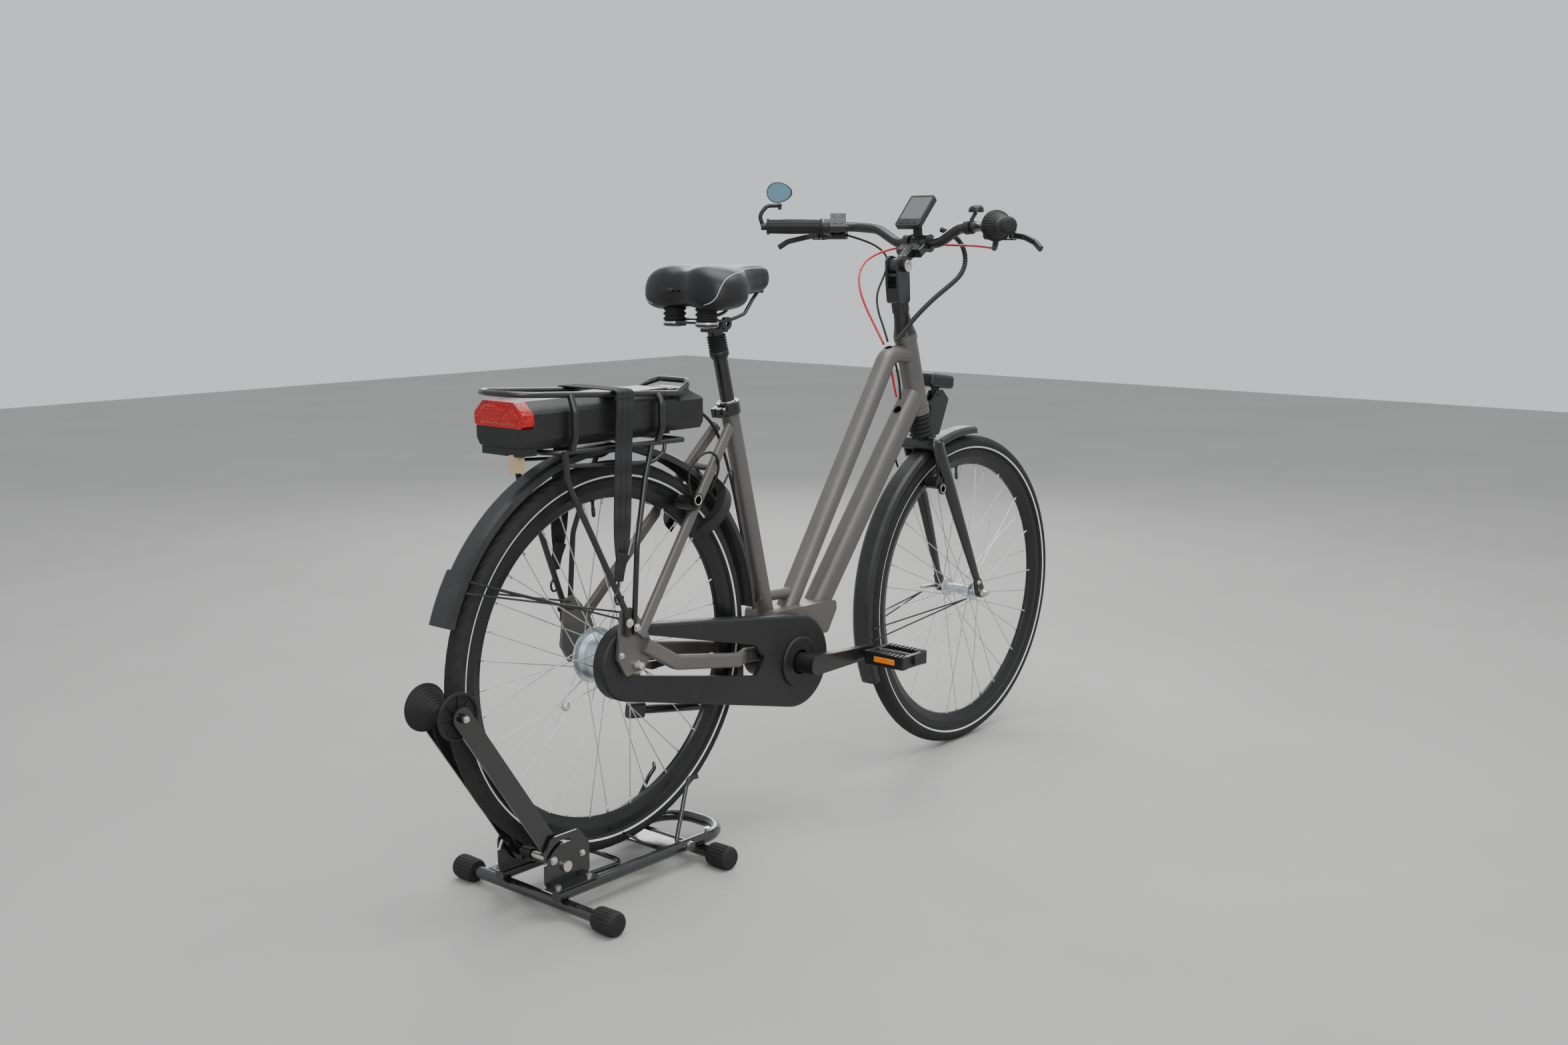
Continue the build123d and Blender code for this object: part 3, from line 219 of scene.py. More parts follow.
def plastic(name, value, roughness, grain=700.0, depth=0.25):
    """Moulded plastic: fine spark-eroded grain and worn, slightly paler patches."""
    made = Finish(name, Specular_IOR_Level=0.45)
    wear = made.noise(22, 5, 0.65)
    colour = made.mix(made.between(wear, 0, 1, 0.5, 0.75), grey(value), grey(value * 1.7))
    made.set(Base_Color=colour, Roughness=made.between(wear, roughness - 0.06, roughness + 0.08, 0.35, 0.7))
    made.bump(made.noise(grain, 4, 0.6), depth, 0.0004)
    return made


def metal(name, colour, roughness, grain=(1, 1, 1), scale=200.0):
    """Bare metal with a grain stretched along one axis and a few dull spots."""
    made = Finish(name, Metallic=1.0)
    stretched = made.node("ShaderNodeMapping", {}, {"Vector": made.where(), "Scale": grain})
    lines = made.noise(scale, 5, 0.6, stretched)
    spots = made.noise(30, 5, 0.7)
    tarnish = made.mix(made.between(spots, 0, 0.6, 0.5, 0.8), colour, tuple(c * 0.6 for c in colour))
    made.set(Base_Color=tarnish, Roughness=made.between(lines, roughness - 0.08, roughness + 0.12, 0.3, 0.7))
    made.bump(lines, 0.08, 0.0002)
    return made


def rubber_finish(name, value=0.012, roughness=0.58, grain=500.0):
    """Dusty rubber: darker where rubbed, paler where dust sits."""
    made = Finish(name, Specular_IOR_Level=0.35)
    dust = made.noise(16, 6, 0.7)
    colour = made.mix(made.between(dust, 0, 0.8, 0.45, 0.8), grey(value), grey(value * 2.4, 0.04))
    made.set(Base_Color=colour, Roughness=made.between(dust, roughness, roughness + 0.2, 0.3, 0.7))
    made.bump(made.noise(grain, 3), 0.2, 0.0003)
    return made


def webbing_finish():
    """Ribbed elastic webbing."""
    made = Finish("elastic_webbing", Specular_IOR_Level=0.2, Sheen_Weight=0.15, Sheen_Roughness=0.5)
    ribs = made.wave(420, "Y")
    weave = made.wave(900, "Z")
    colour = made.mix(ribs * weave, (0.008, 0.008, 0.009), (0.03, 0.03, 0.032))
    made.set(Base_Color=colour, Roughness=0.8)
    made.bump(ribs + weave * 0.4, 0.5, 0.0005)
    return made


def leather_finish():
    """Pebbled saddle cover with a soft sheen."""
    made = Finish("saddle_cover", Specular_IOR_Level=0.4, Coat_Weight=0.06, Coat_Roughness=0.35)
    pebbles = made.cells(620)
    creases = made.cells(260, "DISTANCE_TO_EDGE")
    wear = made.noise(12, 4)
    colour = made.mix(made.between(wear, 0, 1, 0.45, 0.75), (0.008, 0.008, 0.009), (0.015, 0.0145, 0.0145))
    made.set(Base_Color=colour, Roughness=made.between(wear, 0.36, 0.5, 0.3, 0.7))
    made.bump(pebbles * 0.6 + made.between(creases, 0, 1, 0, 0.08), 0.12, 0.0004)
    return made


def lamp_finish():
    """Red lens: bright prisms behind a clear face."""
    made = Finish("red_lens", IOR=1.45, Coat_Weight=0.25, Coat_Roughness=0.05, Roughness=0.22)
    prisms = made.cells(230, "DISTANCE_TO_EDGE")
    tone = made.between(prisms, 0, 1, 0, 0.25)
    colour = made.mix(tone, (0.16, 0.001, 0.001), (0.62, 0.006, 0.005))
    made.set(Base_Color=colour, Emission_Color=(0.8, 0.01, 0.006), Emission_Strength=0.05)
    made.bump(prisms, 0.6, 0.001)
    return made


def amber_finish():
    """Amber reflector with fine prisms, and a faint amber emission that is a painted glow, since the
    reflector is no lamp.
    """
    made = Finish("amber_reflector", Roughness=0.15, Coat_Weight=0.7, Coat_Roughness=0.05)
    prisms = made.cells(500, "DISTANCE_TO_EDGE")
    colour = made.mix(made.between(prisms, 0, 1, 0, 0.3), (0.5, 0.09, 0.0), (1.0, 0.32, 0.02))
    # The amber emission is a painted glow: a reflector sends light back but gives none of its own
    made.set(Base_Color=colour, Emission_Color=(1.0, 0.25, 0.02), Emission_Strength=0.1)
    return made


def clear(name, colour, roughness, metallic=0.0):
    """Smooth coated face such as a screen or a mirror, with faint smears."""
    made = Finish(name, Metallic=metallic, Coat_Weight=1.0, Coat_Roughness=0.03)
    smear = made.noise(60, 5, 0.7)
    made.set(Base_Color=colour, Roughness=made.between(smear, roughness, roughness + 0.08, 0.4, 0.7))
    return made


FRAME_GREY = paint("frame_grey", (0.138, 0.132, 0.124), 0.5, 0.42, 0.0)
SATIN_BLACK = paint("satin_black", grey(0.012), 0.0, 0.3, 0.25)
GLOSS_BLACK = paint("gloss_black", grey(0.012), 0.0, 0.2, 0.6)
CASE_PLASTIC = plastic("case_plastic", 0.011, 0.5)
GUARD_PLASTIC = plastic("guard_plastic", 0.019, 0.4, 1200, 0.12)
BATTERY_PLASTIC = plastic("battery_plastic", 0.010, 0.38, 900, 0.2)
CONTROL_PLASTIC = plastic("control_plastic", 0.011, 0.36, 900, 0.2)
RUBBER = rubber_finish("moulded_rubber")
TYRE_RUBBER = rubber_finish("tyre_rubber", 0.013, 0.62, 300)
CABLE_SKIN = rubber_finish("cable_skin", 0.014, 0.45, 900)
WEBBING = webbing_finish()
SADDLE_COVER = leather_finish()
RED_LENS = lamp_finish()
AMBER_PAINTED_GLOW = amber_finish()
SPOKE_STEEL = metal("spoke_steel", (0.62, 0.62, 0.61), 0.22)
ZINC = metal("zinc_plate", (0.66, 0.65, 0.62), 0.3)
HUB_SILVER = metal("hub_silver", (0.56, 0.62, 0.65), 0.32, (1, 12, 1))
RIM_BLACK = paint("rim_black", grey(0.02), 0.5, 0.3, 0.1)
REFLECT = Finish("reflective_band", Base_Color=(0.75, 0.76, 0.78, 1), Roughness=0.35, Metallic=0.2)
MIRROR = clear("mirror_glass", (0.16, 0.33, 0.42), 0.05, 0.9)
SCREEN = clear("screen_glass", (0.09, 0.095, 0.1), 0.08)
RED_CABLE = Finish("red_cable_skin", Base_Color=(0.45, 0.01, 0.014, 1), Roughness=0.35, Coat_Weight=0.2)
TAG = Finish("card_tag", Base_Color=(0.42, 0.31, 0.19, 1), Roughness=0.85)
PALE_PIPING = Finish("pale_piping", Base_Color=(0.45, 0.46, 0.47, 1), Roughness=0.5)

NODE_FINISHES = {
    FRAME_GREY: ["main_frame", "rear_stays"],
    SATIN_BLACK: [
        "seat_clamp", "rack", "crankset", "kickstand", "seatpost", "post_head", "saddle_frame",
        "stem_post", "stem_arm", "handlebar", "brake_lever_left", "brake_lever_right", "fork",
    ],
    GLOSS_BLACK: ["stand_frame", "stand_side_plates", "stand_arm"],
    CASE_PLASTIC: ["chain_case", "drive_unit", "ring_lock"],
    GUARD_PLASTIC: ["rear_mudguard", "front_mudguard"],
    BATTERY_PLASTIC: ["battery", "battery_dock"],
    CONTROL_PLASTIC: [
        "bar_clamps", "switch_unit", "switch_rocker", "bell", "mirror_arm", "display", "headlight",
        "rear_brake", "front_brake", "pedal_right", "pedal_left",
    ],
    RUBBER: ["stand_feet", "stand_rollers", "grips", "twist_shifter"],
    CABLE_SKIN: ["frame_cables", "control_cables"],
    WEBBING: ["rack_straps"],
    SADDLE_COVER: ["saddle"],
    RED_LENS: ["tail_light"],
    ZINC: ["stand_bolts", "rear_axle", "front_axle", "lock_shackle", "chain", "rear_sprocket"],
    SPOKE_STEEL: ["rear_spokes", "front_spokes"],
    HUB_SILVER: ["rear_hub", "front_hub"],
    RIM_BLACK: ["rear_rim", "front_rim"],
    MIRROR: ["mirror_head"],
}
for finish, nodes in NODE_FINISHES.items():
    for node in nodes:
        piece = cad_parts[node]
        for index in range(len(piece.material_slots)):
            piece.material_slots[index].material = finish.material


# ---------------------------------------------------------------- surfaces


def mesh_piece(name, points, faces, finish, body, smooth=True):
    """A mesh object that takes its finish from a slot, and rides on a body when one is given."""
    mesh = bpy.data.meshes.new(name)
    mesh.from_pydata(np.asarray(points, float).tolist(), [], faces)
    mesh.materials.append(finish.material)
    mesh.polygons.foreach_set("use_smooth", [smooth] * len(mesh.polygons))
    mesh.update()
    made = bpy.data.objects.new(name, mesh)
    bpy.context.collection.objects.link(made)
    if body:
        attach(made, body)
    return made


def grid_faces(rows, columns, wrap_rows=False, wrap_columns=False):
    """Quads of a grid of points laid out row by row."""
    row = np.arange(rows if wrap_rows else rows - 1)
    column = np.arange(columns if wrap_columns else columns - 1)
    r, c = np.meshgrid(row, column, indexing="ij")
    r_next = (r + 1) % rows
    c_next = (c + 1) % columns
    corners = np.stack([
        r * columns + c, r * columns + c_next, r_next * columns + c_next, r_next * columns + c,
    ], -1)
    return corners.reshape(-1, 4).tolist()


def flipped(faces):
    """The same faces, seen from their other side."""
    return [face[::-1] for face in faces]


def end_faces(rows, columns):
    """The two faces that close a tube of rings, at its first and its last ring."""
    last = (rows - 1) * columns
    return [list(range(columns))[::-1], list(range(last, last + columns))]


def circle(count, radius=1.0):
    """Points of a circle, counter-clockwise."""
    turn = np.arange(count) / count * TURN
    return np.stack([np.cos(turn), np.sin(turn)], -1) * radius


def wheelwards(degrees):
    """Direction in the bicycle's own plane, turned up from forwards."""
    turn = math.radians(degrees)
    return np.array([math.cos(turn), 0, math.sin(turn)])


def frames_along(path):
    """Two directions square to the path at each point, turning as little as they can."""
    path = np.asarray(path, float)
    heading = np.gradient(path, axis=0)
    heading /= np.linalg.norm(heading, axis=1, keepdims=True)
    side = unit(np.cross(heading[0], (0, 0, 1) if abs(heading[0][2]) < 0.9 else (1, 0, 0)))
    sides = []
    for direction in heading:
        side = unit(side - direction * np.dot(side, direction))
        sides.append(side)
    sides = np.array(sides)
    return sides, np.cross(heading, sides)


def carried(path, section):
    """A closed section carried along a path. Section is (count, 2), or (path points, count, 2)
    where it changes. Returns points and faces with both ends closed."""
    path = np.asarray(path, float)
    sides, ups = frames_along(path)
    section = np.broadcast_to(section, (len(path), *np.shape(section)[-2:]))
    rings = path[:, None] + section[..., :1] * sides[:, None] + section[..., 1:] * ups[:, None]
    count = rings.shape[1]
    faces = grid_faces(len(path), count, wrap_columns=True) + end_faces(len(path), count)
    return rings.reshape(-1, 3), faces


def curve_through(points, steps=12):
    """Smooth path through points, by Catmull-Rom weights."""
    p = np.asarray(points, float)
    p = np.vstack([2 * p[0] - p[1], p, 2 * p[-1] - p[-2]])
    t = np.linspace(0, 1, steps, endpoint=False)[:, None]
    spans = []
    for a, b, c, d in zip(p, p[1:], p[2:], p[3:]):
        squared = (2 * a - 5 * b + 4 * c - d) * t**2
        cubed = (3 * b - a - 3 * c + d) * t**3
        spans.append(0.5 * (2 * b + (c - a) * t + squared + cubed))
    return np.vstack(spans + [p[-2:-1]])


def rod(name, points, radius, finish, body):
    """Round bent rod along a smooth path."""
    shape, faces = carried(curve_through(points, 10), circle(14, radius))
    return mesh_piece(name, shape, faces, finish, body)


def lathe(centre, axis, profile, count=48):
    """Profile of (distance along axis, radius) turned about an axis; closed where the radius is 0."""
    axis = unit(axis)
    side = unit(np.cross(axis, (0, 1, 0) if abs(axis[1]) < 0.9 else (1, 0, 0)))
    up = np.cross(axis, side)
    profile = np.asarray(profile, float)
    ring = circle(count)
    spread = ring[:, :1] * side + ring[:, 1:] * up
    points = np.asarray(centre) + profile[:, 0, None, None] * axis + profile[:, 1, None, None] * spread
    faces = grid_faces(len(profile), count, wrap_columns=True)
    return points.reshape(-1, 3), faces


def turned(name, centre, axis, profile, finish, body, count=48):
    """A turned piece, with a face across each end."""
    points, faces = lathe(centre, axis, profile, count)
    return mesh_piece(name, points, faces + end_faces(len(profile), count), finish, body)


def bellows_profile(length, outer, inner, folds, samples=8):
    """Radius along a ribbed boot: a cosine between the ridges and the valleys."""
    steps = np.linspace(0, 1, folds * samples + 1)
    radius = (outer + inner) / 2 - (outer - inner) / 2 * np.cos(steps * folds * TURN)
    return np.stack([steps * length, radius], -1)


def joined(pieces):
    """Points and faces of several shapes as one."""
    all_points, all_faces, start = [], [], 0
    for points, faces in pieces:
        all_points.append(points)
        all_faces += [[index + start for index in face] for face in faces]
        start += len(points)
    return np.vstack(all_points), all_faces


# ---------------------------------------------------------------- wheels


def tyre_tread(name, axle, body):
    """Tyre: a round section whose crown carries two fine lines, and slanted grooves on its shoulders.
    The lean goes round the section from one bead over the crown to the other. A groove is cut where
    the turn of the wheel plus the lean comes to the middle of a pitch."""
    around, across = 1080, 40
    pitches, slope, groove_share = 90, 1.4, 0.17
    groove_depth, line_depth = 0.0011, 0.0012
    bead_radius, bead_half = TYRE_CENTRE - 0.0135, 0.0115
    angle = np.arange(around)[:, None] / around * TURN
    lean = np.linspace(-2.2, 2.2, across)[None]
    pitch = angle * pitches / TURN + np.abs(lean) * slope
    slant = np.abs((pitch % 1.0) - 0.5) < groove_share
    shoulder = (np.abs(lean) > 0.22) & (np.abs(lean) < 1.05)
    crown_line = np.abs(np.abs(lean) - 0.2) < 0.05
    section = TYRE_HALF - (groove_depth * (slant & shoulder) + line_depth * crown_line)
    radius = TYRE_CENTRE + section * np.cos(lean)
    y = section * np.sin(lean) * np.ones_like(angle)
    outer = np.stack([radius * np.cos(angle), y, radius * np.sin(angle)], -1) + axle
    radius = np.full((around, 2), bead_radius)
    y = np.array([[bead_half, -bead_half]]) * np.ones_like(angle)
    inner = np.stack([radius * np.cos(angle), y, radius * np.sin(angle)], -1) + axle
    points = np.concatenate([outer, inner], 1).reshape(-1, 3)
    faces = flipped(grid_faces(around, across + 2, True, True))
    return mesh_piece(name, points, faces, TYRE_RUBBER, body)


def reflective_band(name, axle, body, side):
    """Band on a tyre's wall: an arc of the tyre's section, just proud of it, turned about the axle."""
    proud = TYRE_HALF + 0.0003
    lean = np.linspace(1.84, 2.02, 5)
    profile = np.stack([side * proud * np.sin(lean), TYRE_CENTRE + proud * np.cos(lean)], -1)
    points, faces = lathe(axle, (0, 1, 0), profile, 180)
    mesh_piece(name, points, faces, REFLECT, body)


def spoke_nipples(wheel, axle, body):
    """A plated nipple where each spoke enters the rim: a small six-sided sleeve that points outwards."""
    shapes = []
    for index in range(SPOKE_COUNT):
        out = wheelwards(index / SPOKE_COUNT * 360)
        side = 1 if index % 2 else -1
        foot = axle + out * 0.2735 + np.array([0, side * 0.0034, 0])
        shapes.append(lathe(foot, out, [(0, 0.0009), (0, 0.0018), (0.008, 0.0021), (0.012, 0.0021)], 6))
    points, faces = joined(shapes)
    mesh_piece(f"{wheel}_spoke_nipples", points, faces, ZINC, body)


def tyre_valve(wheel, axle, body):
    """The valve inside the rim, between two spokes: a nut, a stem and a cap that narrows to its tip."""
    out = wheelwards(95)
    turned(f"{wheel}_valve", axle + out * 0.286, -out, [
        (0, 0.0045), (0.004, 0.0045), (0.004, 0.003), (0.016, 0.003), (0.016, 0.0038), (0.03, 0.0034),
        (0.032, 0.001)], CONTROL_PLASTIC, body, 12)


WHEELS = (("rear", REAR_AXLE), ("front", FRONT_AXLE))
for wheel, axle in WHEELS:
    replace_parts(tyre_tread(f"{wheel}_tyre_tread", axle, f"{wheel}_wheel"), f"{wheel}_tyre")
    for side, side_name in SIDES:
        reflective_band(f"{wheel}_reflective_band_{side_name}", axle, f"{wheel}_wheel", side)
for wheel, axle in WHEELS:
    spoke_nipples(wheel, axle, f"{wheel}_wheel")
    tyre_valve(wheel, axle, f"{wheel}_wheel")
for index, degrees in enumerate((205, 318)):
    spot = REAR_AXLE + wheelwards(degrees) * 0.135 - np.array([0, 0.034, 0])
    turned(f"spoke_magnet_{index + 1}", spot, (0, 1, 0),
           [(0, 0.006), (0.002, 0.0078), (0.009, 0.0078), (0.011, 0.006)], ZINC, "rear_wheel", 16)


# ---------------------------------------------------------------- saddle and post

SADDLE_STATIONS = np.array([
    # x, half width, top, bottom
    (184, 30, 1050, 1030), (187, 60, 1065, 1014), (195, 85, 1078, 1005), (212, 99, 1086, 1001),
    (240, 104, 1088, 1001), (268, 98, 1087, 1003), (292, 80, 1086, 1009), (315, 58, 1086, 1019),
    (345, 42, 1087, 1027), (378, 33, 1087, 1031), (402, 28, 1085, 1036), (416, 20, 1078, 1046),
    (423, 8, 1066, 1056),
])


def saddle_surface(along, around):
    """Saddle skin. Along runs from the rear to the nose, around goes round the section.
    Each section is a squarish oval with deep sides. A valley runs between the two lobes of the rear
    half, an arch lifts its underside, and a notch draws in the middle of its rear edge."""
    x, half, top, bottom = [along[..., None, index] for index in range(4)]
    cos, sin = np.cos(around), np.sin(around)
    y = half * np.sign(cos) * np.abs(cos) ** 0.62
    waist = bottom + (top - bottom) * 0.4
    lift = np.where(sin > 0, top - waist, waist - bottom)
    z = waist + lift * np.sign(sin) * np.abs(sin) ** 0.8
    rear = 1 / (1 + np.exp((x - 318) / 14))
    rear_valley, nose_valley, arch_rise, notch_depth = 11, 3, 13, 8
    valley = np.exp(-((y / 22) ** 2)) * np.clip(sin, 0, 1) * (rear_valley * rear + nose_valley * (1 - rear))
    arch = arch_rise * np.exp(-((y / 48) ** 2)) * np.clip(-sin, 0, 1) * rear
    notch = notch_depth * np.exp(-((y / 24) ** 2)) * np.exp(-(((x - 184) / 16) ** 2))
    return np.stack([(x + notch - ORIGIN_X) * MM, y * MM, (z - valley + arch) * MM], -1)


def saddle():
    """Padded saddle with pale piping along the edge of its top."""
    along = curve_through(SADDLE_STATIONS, 10)
    around = np.linspace(0, TURN, 96, endpoint=False)
    surface = saddle_surface(along, around)
    rows, columns = surface.shape[:2]
    faces = flipped(grid_faces(rows, columns, wrap_columns=True) + end_faces(rows, columns))
    skin = mesh_piece("saddle_skin", surface.reshape(-1, 3), faces, SADDLE_COVER, "seat")
    skin.modifiers.new("smooth", "SUBSURF").levels = 1
    skin.modifiers["smooth"].render_levels = 1
    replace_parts(skin, "saddle")
    seam = along[16:-12]
    turn = 0.78 - 1.5 * np.exp(-np.linspace(0, 1, len(seam)) * 9)
    for name, line_turn in (("left", turn), ("right", math.pi - turn)):
        line = saddle_surface(seam, line_turn[:, None])[:, 0] + np.array([0, 0, 0.0002])
        points, faces = carried(line[::2], circle(8, 0.0009))
        mesh_piece(f"saddle_piping_{name}", points, faces, PALE_PIPING, "seat")


def saddle_springs():
    """The ribbed boot of each saddle spring, on its plated cup."""
    for name, side in (("left", 1), ("right", -1)):
        turned(f"saddle_spring_boot_{name}", place(224, side * 40, 985), (0, 0, 1),
               bellows_profile(0.036, 0.0215, 0.0175, 4), RUBBER, "seat")
        turned(f"saddle_spring_cap_{name}", place(224, side * 40, 974.5), (0, 0, 1), [
            (0, 0.008), (0.0008, 0.017), (0.004, 0.0205), (0.010, 0.0215), (0.0112, 0.0205)],
            ZINC, "seat")


def along_seat(distance):
    """Point on the seat tube's axis, measured up from its top, in millimetres."""
    return SEAT_TOP + SEAT_AXIS * distance * MM


saddle()
saddle_springs()
BOOT_FOOT = along_seat(101)
boot = turned("post_boot", BOOT_FOOT, SEAT_AXIS, bellows_profile(0.0305, 0.0185, 0.0145, 6), RUBBER,
              "seat_tube_post")
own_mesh(boot)
turned("post_boot_collar", along_seat(91), SEAT_AXIS,
       [(0, 0.0165), (0.001, 0.0182), (0.010, 0.0182), (0.0112, 0.017)],
       CONTROL_PLASTIC, "seat_tube_post")
turned("seat_clamp_ring", along_seat(2.5), SEAT_AXIS,
       [(0, 0.0142), (0, 0.0162), (0.0025, 0.0158), (0.003, 0.0142)], ZINC, "bicycle")


# ---------------------------------------------------------------- steering and fork


def along_steerer(distance):
    """Point on the steering axis, measured up from the foot of the head tube, in millimetres."""
    return HEAD_FOOT + STEER_AXIS * distance * MM


fork_boot = turned("fork_boot", along_steerer(-52), STEER_AXIS, bellows_profile(0.0505, 0.0262, 0.0212, 5),
                   RUBBER, "steering")
tuple(along_steerer(-1.5))
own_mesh(fork_boot)
turned("stem_cap_ring", place(845, -27.4, 1076), (0, -1, 0),
       [(0, 0.0122), (0.0012, 0.0122), (0.0016, 0.0108), (0.0006, 0.0095)], ZINC, "steering")

BAR_TIP = np.array([790, 306, 1157.0])
BAR_RUN = np.array([115, -144, 0]) / 184.28
TIP_STATION = 298


def bar_place(station):
    """Point on a straight end of the handlebar. Station counts millimetres along it up to the tip's,
    and is negative on the right."""
    x, y, z = BAR_TIP + BAR_RUN * (TIP_STATION - abs(station))
    return place(x, math.copysign(y, station), z)


def fluted(name, start, end, profile, flutes, depth, finish, body, count=96):
    """Turned grip whose radius also dips along flutes, by a squared cosine of the turn.
    Profile is (share of the length, radius, share of the flutes' depth)."""
    start, end = np.asarray(start), np.asarray(end)
    span = end - start
    axis = unit(span)
    side = unit(np.cross(axis, (0, 0, 1)))
    up = np.cross(axis, side)
    angle = np.arange(count) / count * TURN
    profile = np.asarray(profile, float)
    dip = depth * (0.5 - 0.5 * np.cos(angle * flutes)) ** 2
    radius = profile[:, 1:2] - dip[None] * profile[:, 2:3]
    points = (start + profile[:, :1, None] * span + radius[..., None] * (
        np.cos(angle)[None, :, None] * side + np.sin(angle)[None, :, None] * up))
    faces = grid_faces(len(profile), count, wrap_columns=True) + end_faces(len(profile), count)
    return mesh_piece(name, points.reshape(-1, 3), faces, finish, body)


def grip_profile(thick):
    """Grip: collars at both ends and a crowned middle cut by fine rings. Thick is its base radius."""
    crown_rise, ring_depth, ring_count = 0.0012, 0.0004, 34
    share = np.linspace(0, 1, 121)
    rings = ring_depth * (np.cos(share * ring_count * TURN) > 0)
    radius = thick + crown_rise * np.sin(share * math.pi) - rings
    collar = (share < 0.045) | (share > 0.955)
    radius = np.where(collar, thick + 0.0022, radius)
    radius[0] = radius[-1] = thick - 0.001
    return np.stack([share, radius, np.where(collar, 0, 1)], -1)


left_grip = fluted("left_grip", bar_place(182), bar_place(303), grip_profile(0.0152), 10, 0.0007,
                   RUBBER, "handlebars")
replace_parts(left_grip, "grips")
fluted("right_grip_cap", bar_place(-267), bar_place(-304), [
    (0, 0.0165, 0), (0.03, 0.0178, 0), (0.5, 0.0182, 1), (0.8, 0.0176, 1), (0.94, 0.0150, 0),
    (1.0, 0.0115, 0)], 18, 0.0008, RUBBER, "handlebars")
shifter = fluted("shifter_grip", bar_place(-219.2), bar_place(-266), [
    (0, 0.0275, 0), (0.01, 0.0305, 0), (0.03, 0.0312, 0), (0.09, 0.0306, 0), (0.13, 0.026, 0),
    (0.18, 0.0262, 1), (0.4, 0.0243, 1), (0.7, 0.0212, 1), (0.9, 0.0192, 1), (0.97, 0.0186, 0),
    (1.0, 0.0172, 0)], 26, 0.0014, RUBBER, "shifter", 156)
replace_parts(shifter, "twist_shifter")


def mirror_egg(scale):
    """Outline of the mirror: an ellipse, fuller on its outer side."""
    turn = np.linspace(0, TURN, 72, endpoint=False)
    wide = 0.0285 * np.cos(turn)
    tall = 0.0215 * np.sin(turn) * (1 + 0.16 * np.cos(turn))
    return np.stack([wide, tall], -1) * scale


def mirror():
    """Domed black mirror housing with a rim, and the tinted glass set into its face."""
    centre = place(812, 294, 1229.6)
    out = np.array([-0.917, -0.4, 0.0])
    side = np.array([-0.4, 0.917, 0.0])
    up = np.array([0, 0, 1.0])

    def ring(scale, depth):
        outline = mirror_egg(scale)
        return centre + outline[:, :1] * side + outline[:, 1:] * up + out * depth

    steps = [(0.93, 0.0040), (0.965, 0.0052), (1.0, 0.0048), (1.02, 0.0030), (1.0, 0.0), (0.9, -0.0045),
             (0.7, -0.0085), (0.4, -0.0112), (0.12, -0.012)]
    rings = np.array([ring(scale, depth) for scale, depth in steps])
    count = rings.shape[1]
    faces = flipped(grid_faces(len(steps), count, wrap_columns=True) + end_faces(len(steps), count))
    housing = mesh_piece("mirror_housing", rings.reshape(-1, 3), faces, CONTROL_PLASTIC, "mirror")
    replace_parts(housing, "mirror_head")
    glass = np.array([ring(0.93, 0.0042), ring(0.6, 0.0046), ring(0.2, 0.0047)])
    faces = flipped(grid_faces(len(glass), count, wrap_columns=True) + end_faces(len(glass), count)[1:])
    mesh_piece("mirror_glass", glass.reshape(-1, 3), faces, MIRROR, "mirror")


mirror()


def slab(centre, side, up, width, height, thick, corner=0.003, points_per_corner=5):
    """Rounded rectangle with a thickness, square to side and up; centre is in its middle."""
    side, up = unit(side), unit(up)
    out = np.cross(side, up)
    turn = np.linspace(0, TURN / 4, points_per_corner)
    corners = []
    for quarter, (sx, sy) in enumerate(((1, 1), (-1, 1), (-1, -1), (1, -1))):
        angle = turn + quarter * TURN / 4
        corners.append(np.stack([sx * (width / 2 - corner) + corner * np.cos(angle),
                                 sy * (height / 2 - corner) + corner * np.sin(angle)], -1))
    outline = np.vstack(corners)
    rim = min(thick * 0.3, corner * 0.5)
    rings = []
    for inset, depth in ((rim, -thick / 2), (0, -thick / 2 + rim), (0, thick / 2 - rim), (rim, thick / 2)):
        shrink = 1 - inset * 2 / np.array([width, height])
        flat = outline * shrink
        rings.append(np.asarray(centre) + flat[:, :1] * side + flat[:, 1:] * up + out * depth)
    faces = grid_faces(len(rings), len(outline), wrap_columns=True) + end_faces(len(rings), len(outline))
    return np.vstack(rings), faces


def display_screen():
    """Screen and three keys on the display's face."""
    facing = unit([-0.72, 0, 0.69])
    up = np.array([facing[2], 0, -facing[0]])
    centre = place(907, 0, 1186) + facing * 0.0062
    points, faces = slab(centre + up * 0.006, (0, -1, 0), up, 0.052, 0.062, 0.0008, 0.003)
    mesh_piece("display_glass", points, faces, SCREEN, "screen", smooth=False)
    for index in range(3):
        spot = centre + up * -0.035 + np.array([0, (index - 1) * 0.016, 0])
        points, faces = slab(spot, (0, -1, 0), up, 0.011, 0.006, 0.0012, 0.002)
        mesh_piece(f"display_key_{index + 1}", points, faces, RUBBER, "screen", smooth=False)


display_screen()


def cable_path(points):
    """Smooth line of a cable: a NURBS spline with the route's points as its control points."""
    data = bpy.data.curves.new("route", "CURVE")
    data.dimensions = "3D"
    spline = data.splines.new("NURBS")
    spline.points.add(len(points) - 1)
    for knot, point in zip(spline.points, points):
        knot.co = (*place(*point), 1)
    spline.order_u = 3
    spline.use_endpoint_u = True
    spline.resolution_u = 10
    holder = bpy.data.objects.new("route", data)
    mesh = bpy.data.meshes.new_from_object(holder)
    path = np.array([vertex.co[:] for vertex in mesh.vertices])
    bpy.data.objects.remove(holder)
    bpy.data.curves.remove(data)
    bpy.data.meshes.remove(mesh)
    apart = np.r_[True, np.linalg.norm(np.diff(path, axis=0), axis=1) > 1e-6]
    return path[apart]


def path_length(path):
    """Distance of each point from the start, along the path."""
    return np.r_[0, np.cumsum(np.linalg.norm(np.diff(path, axis=0), axis=1))]


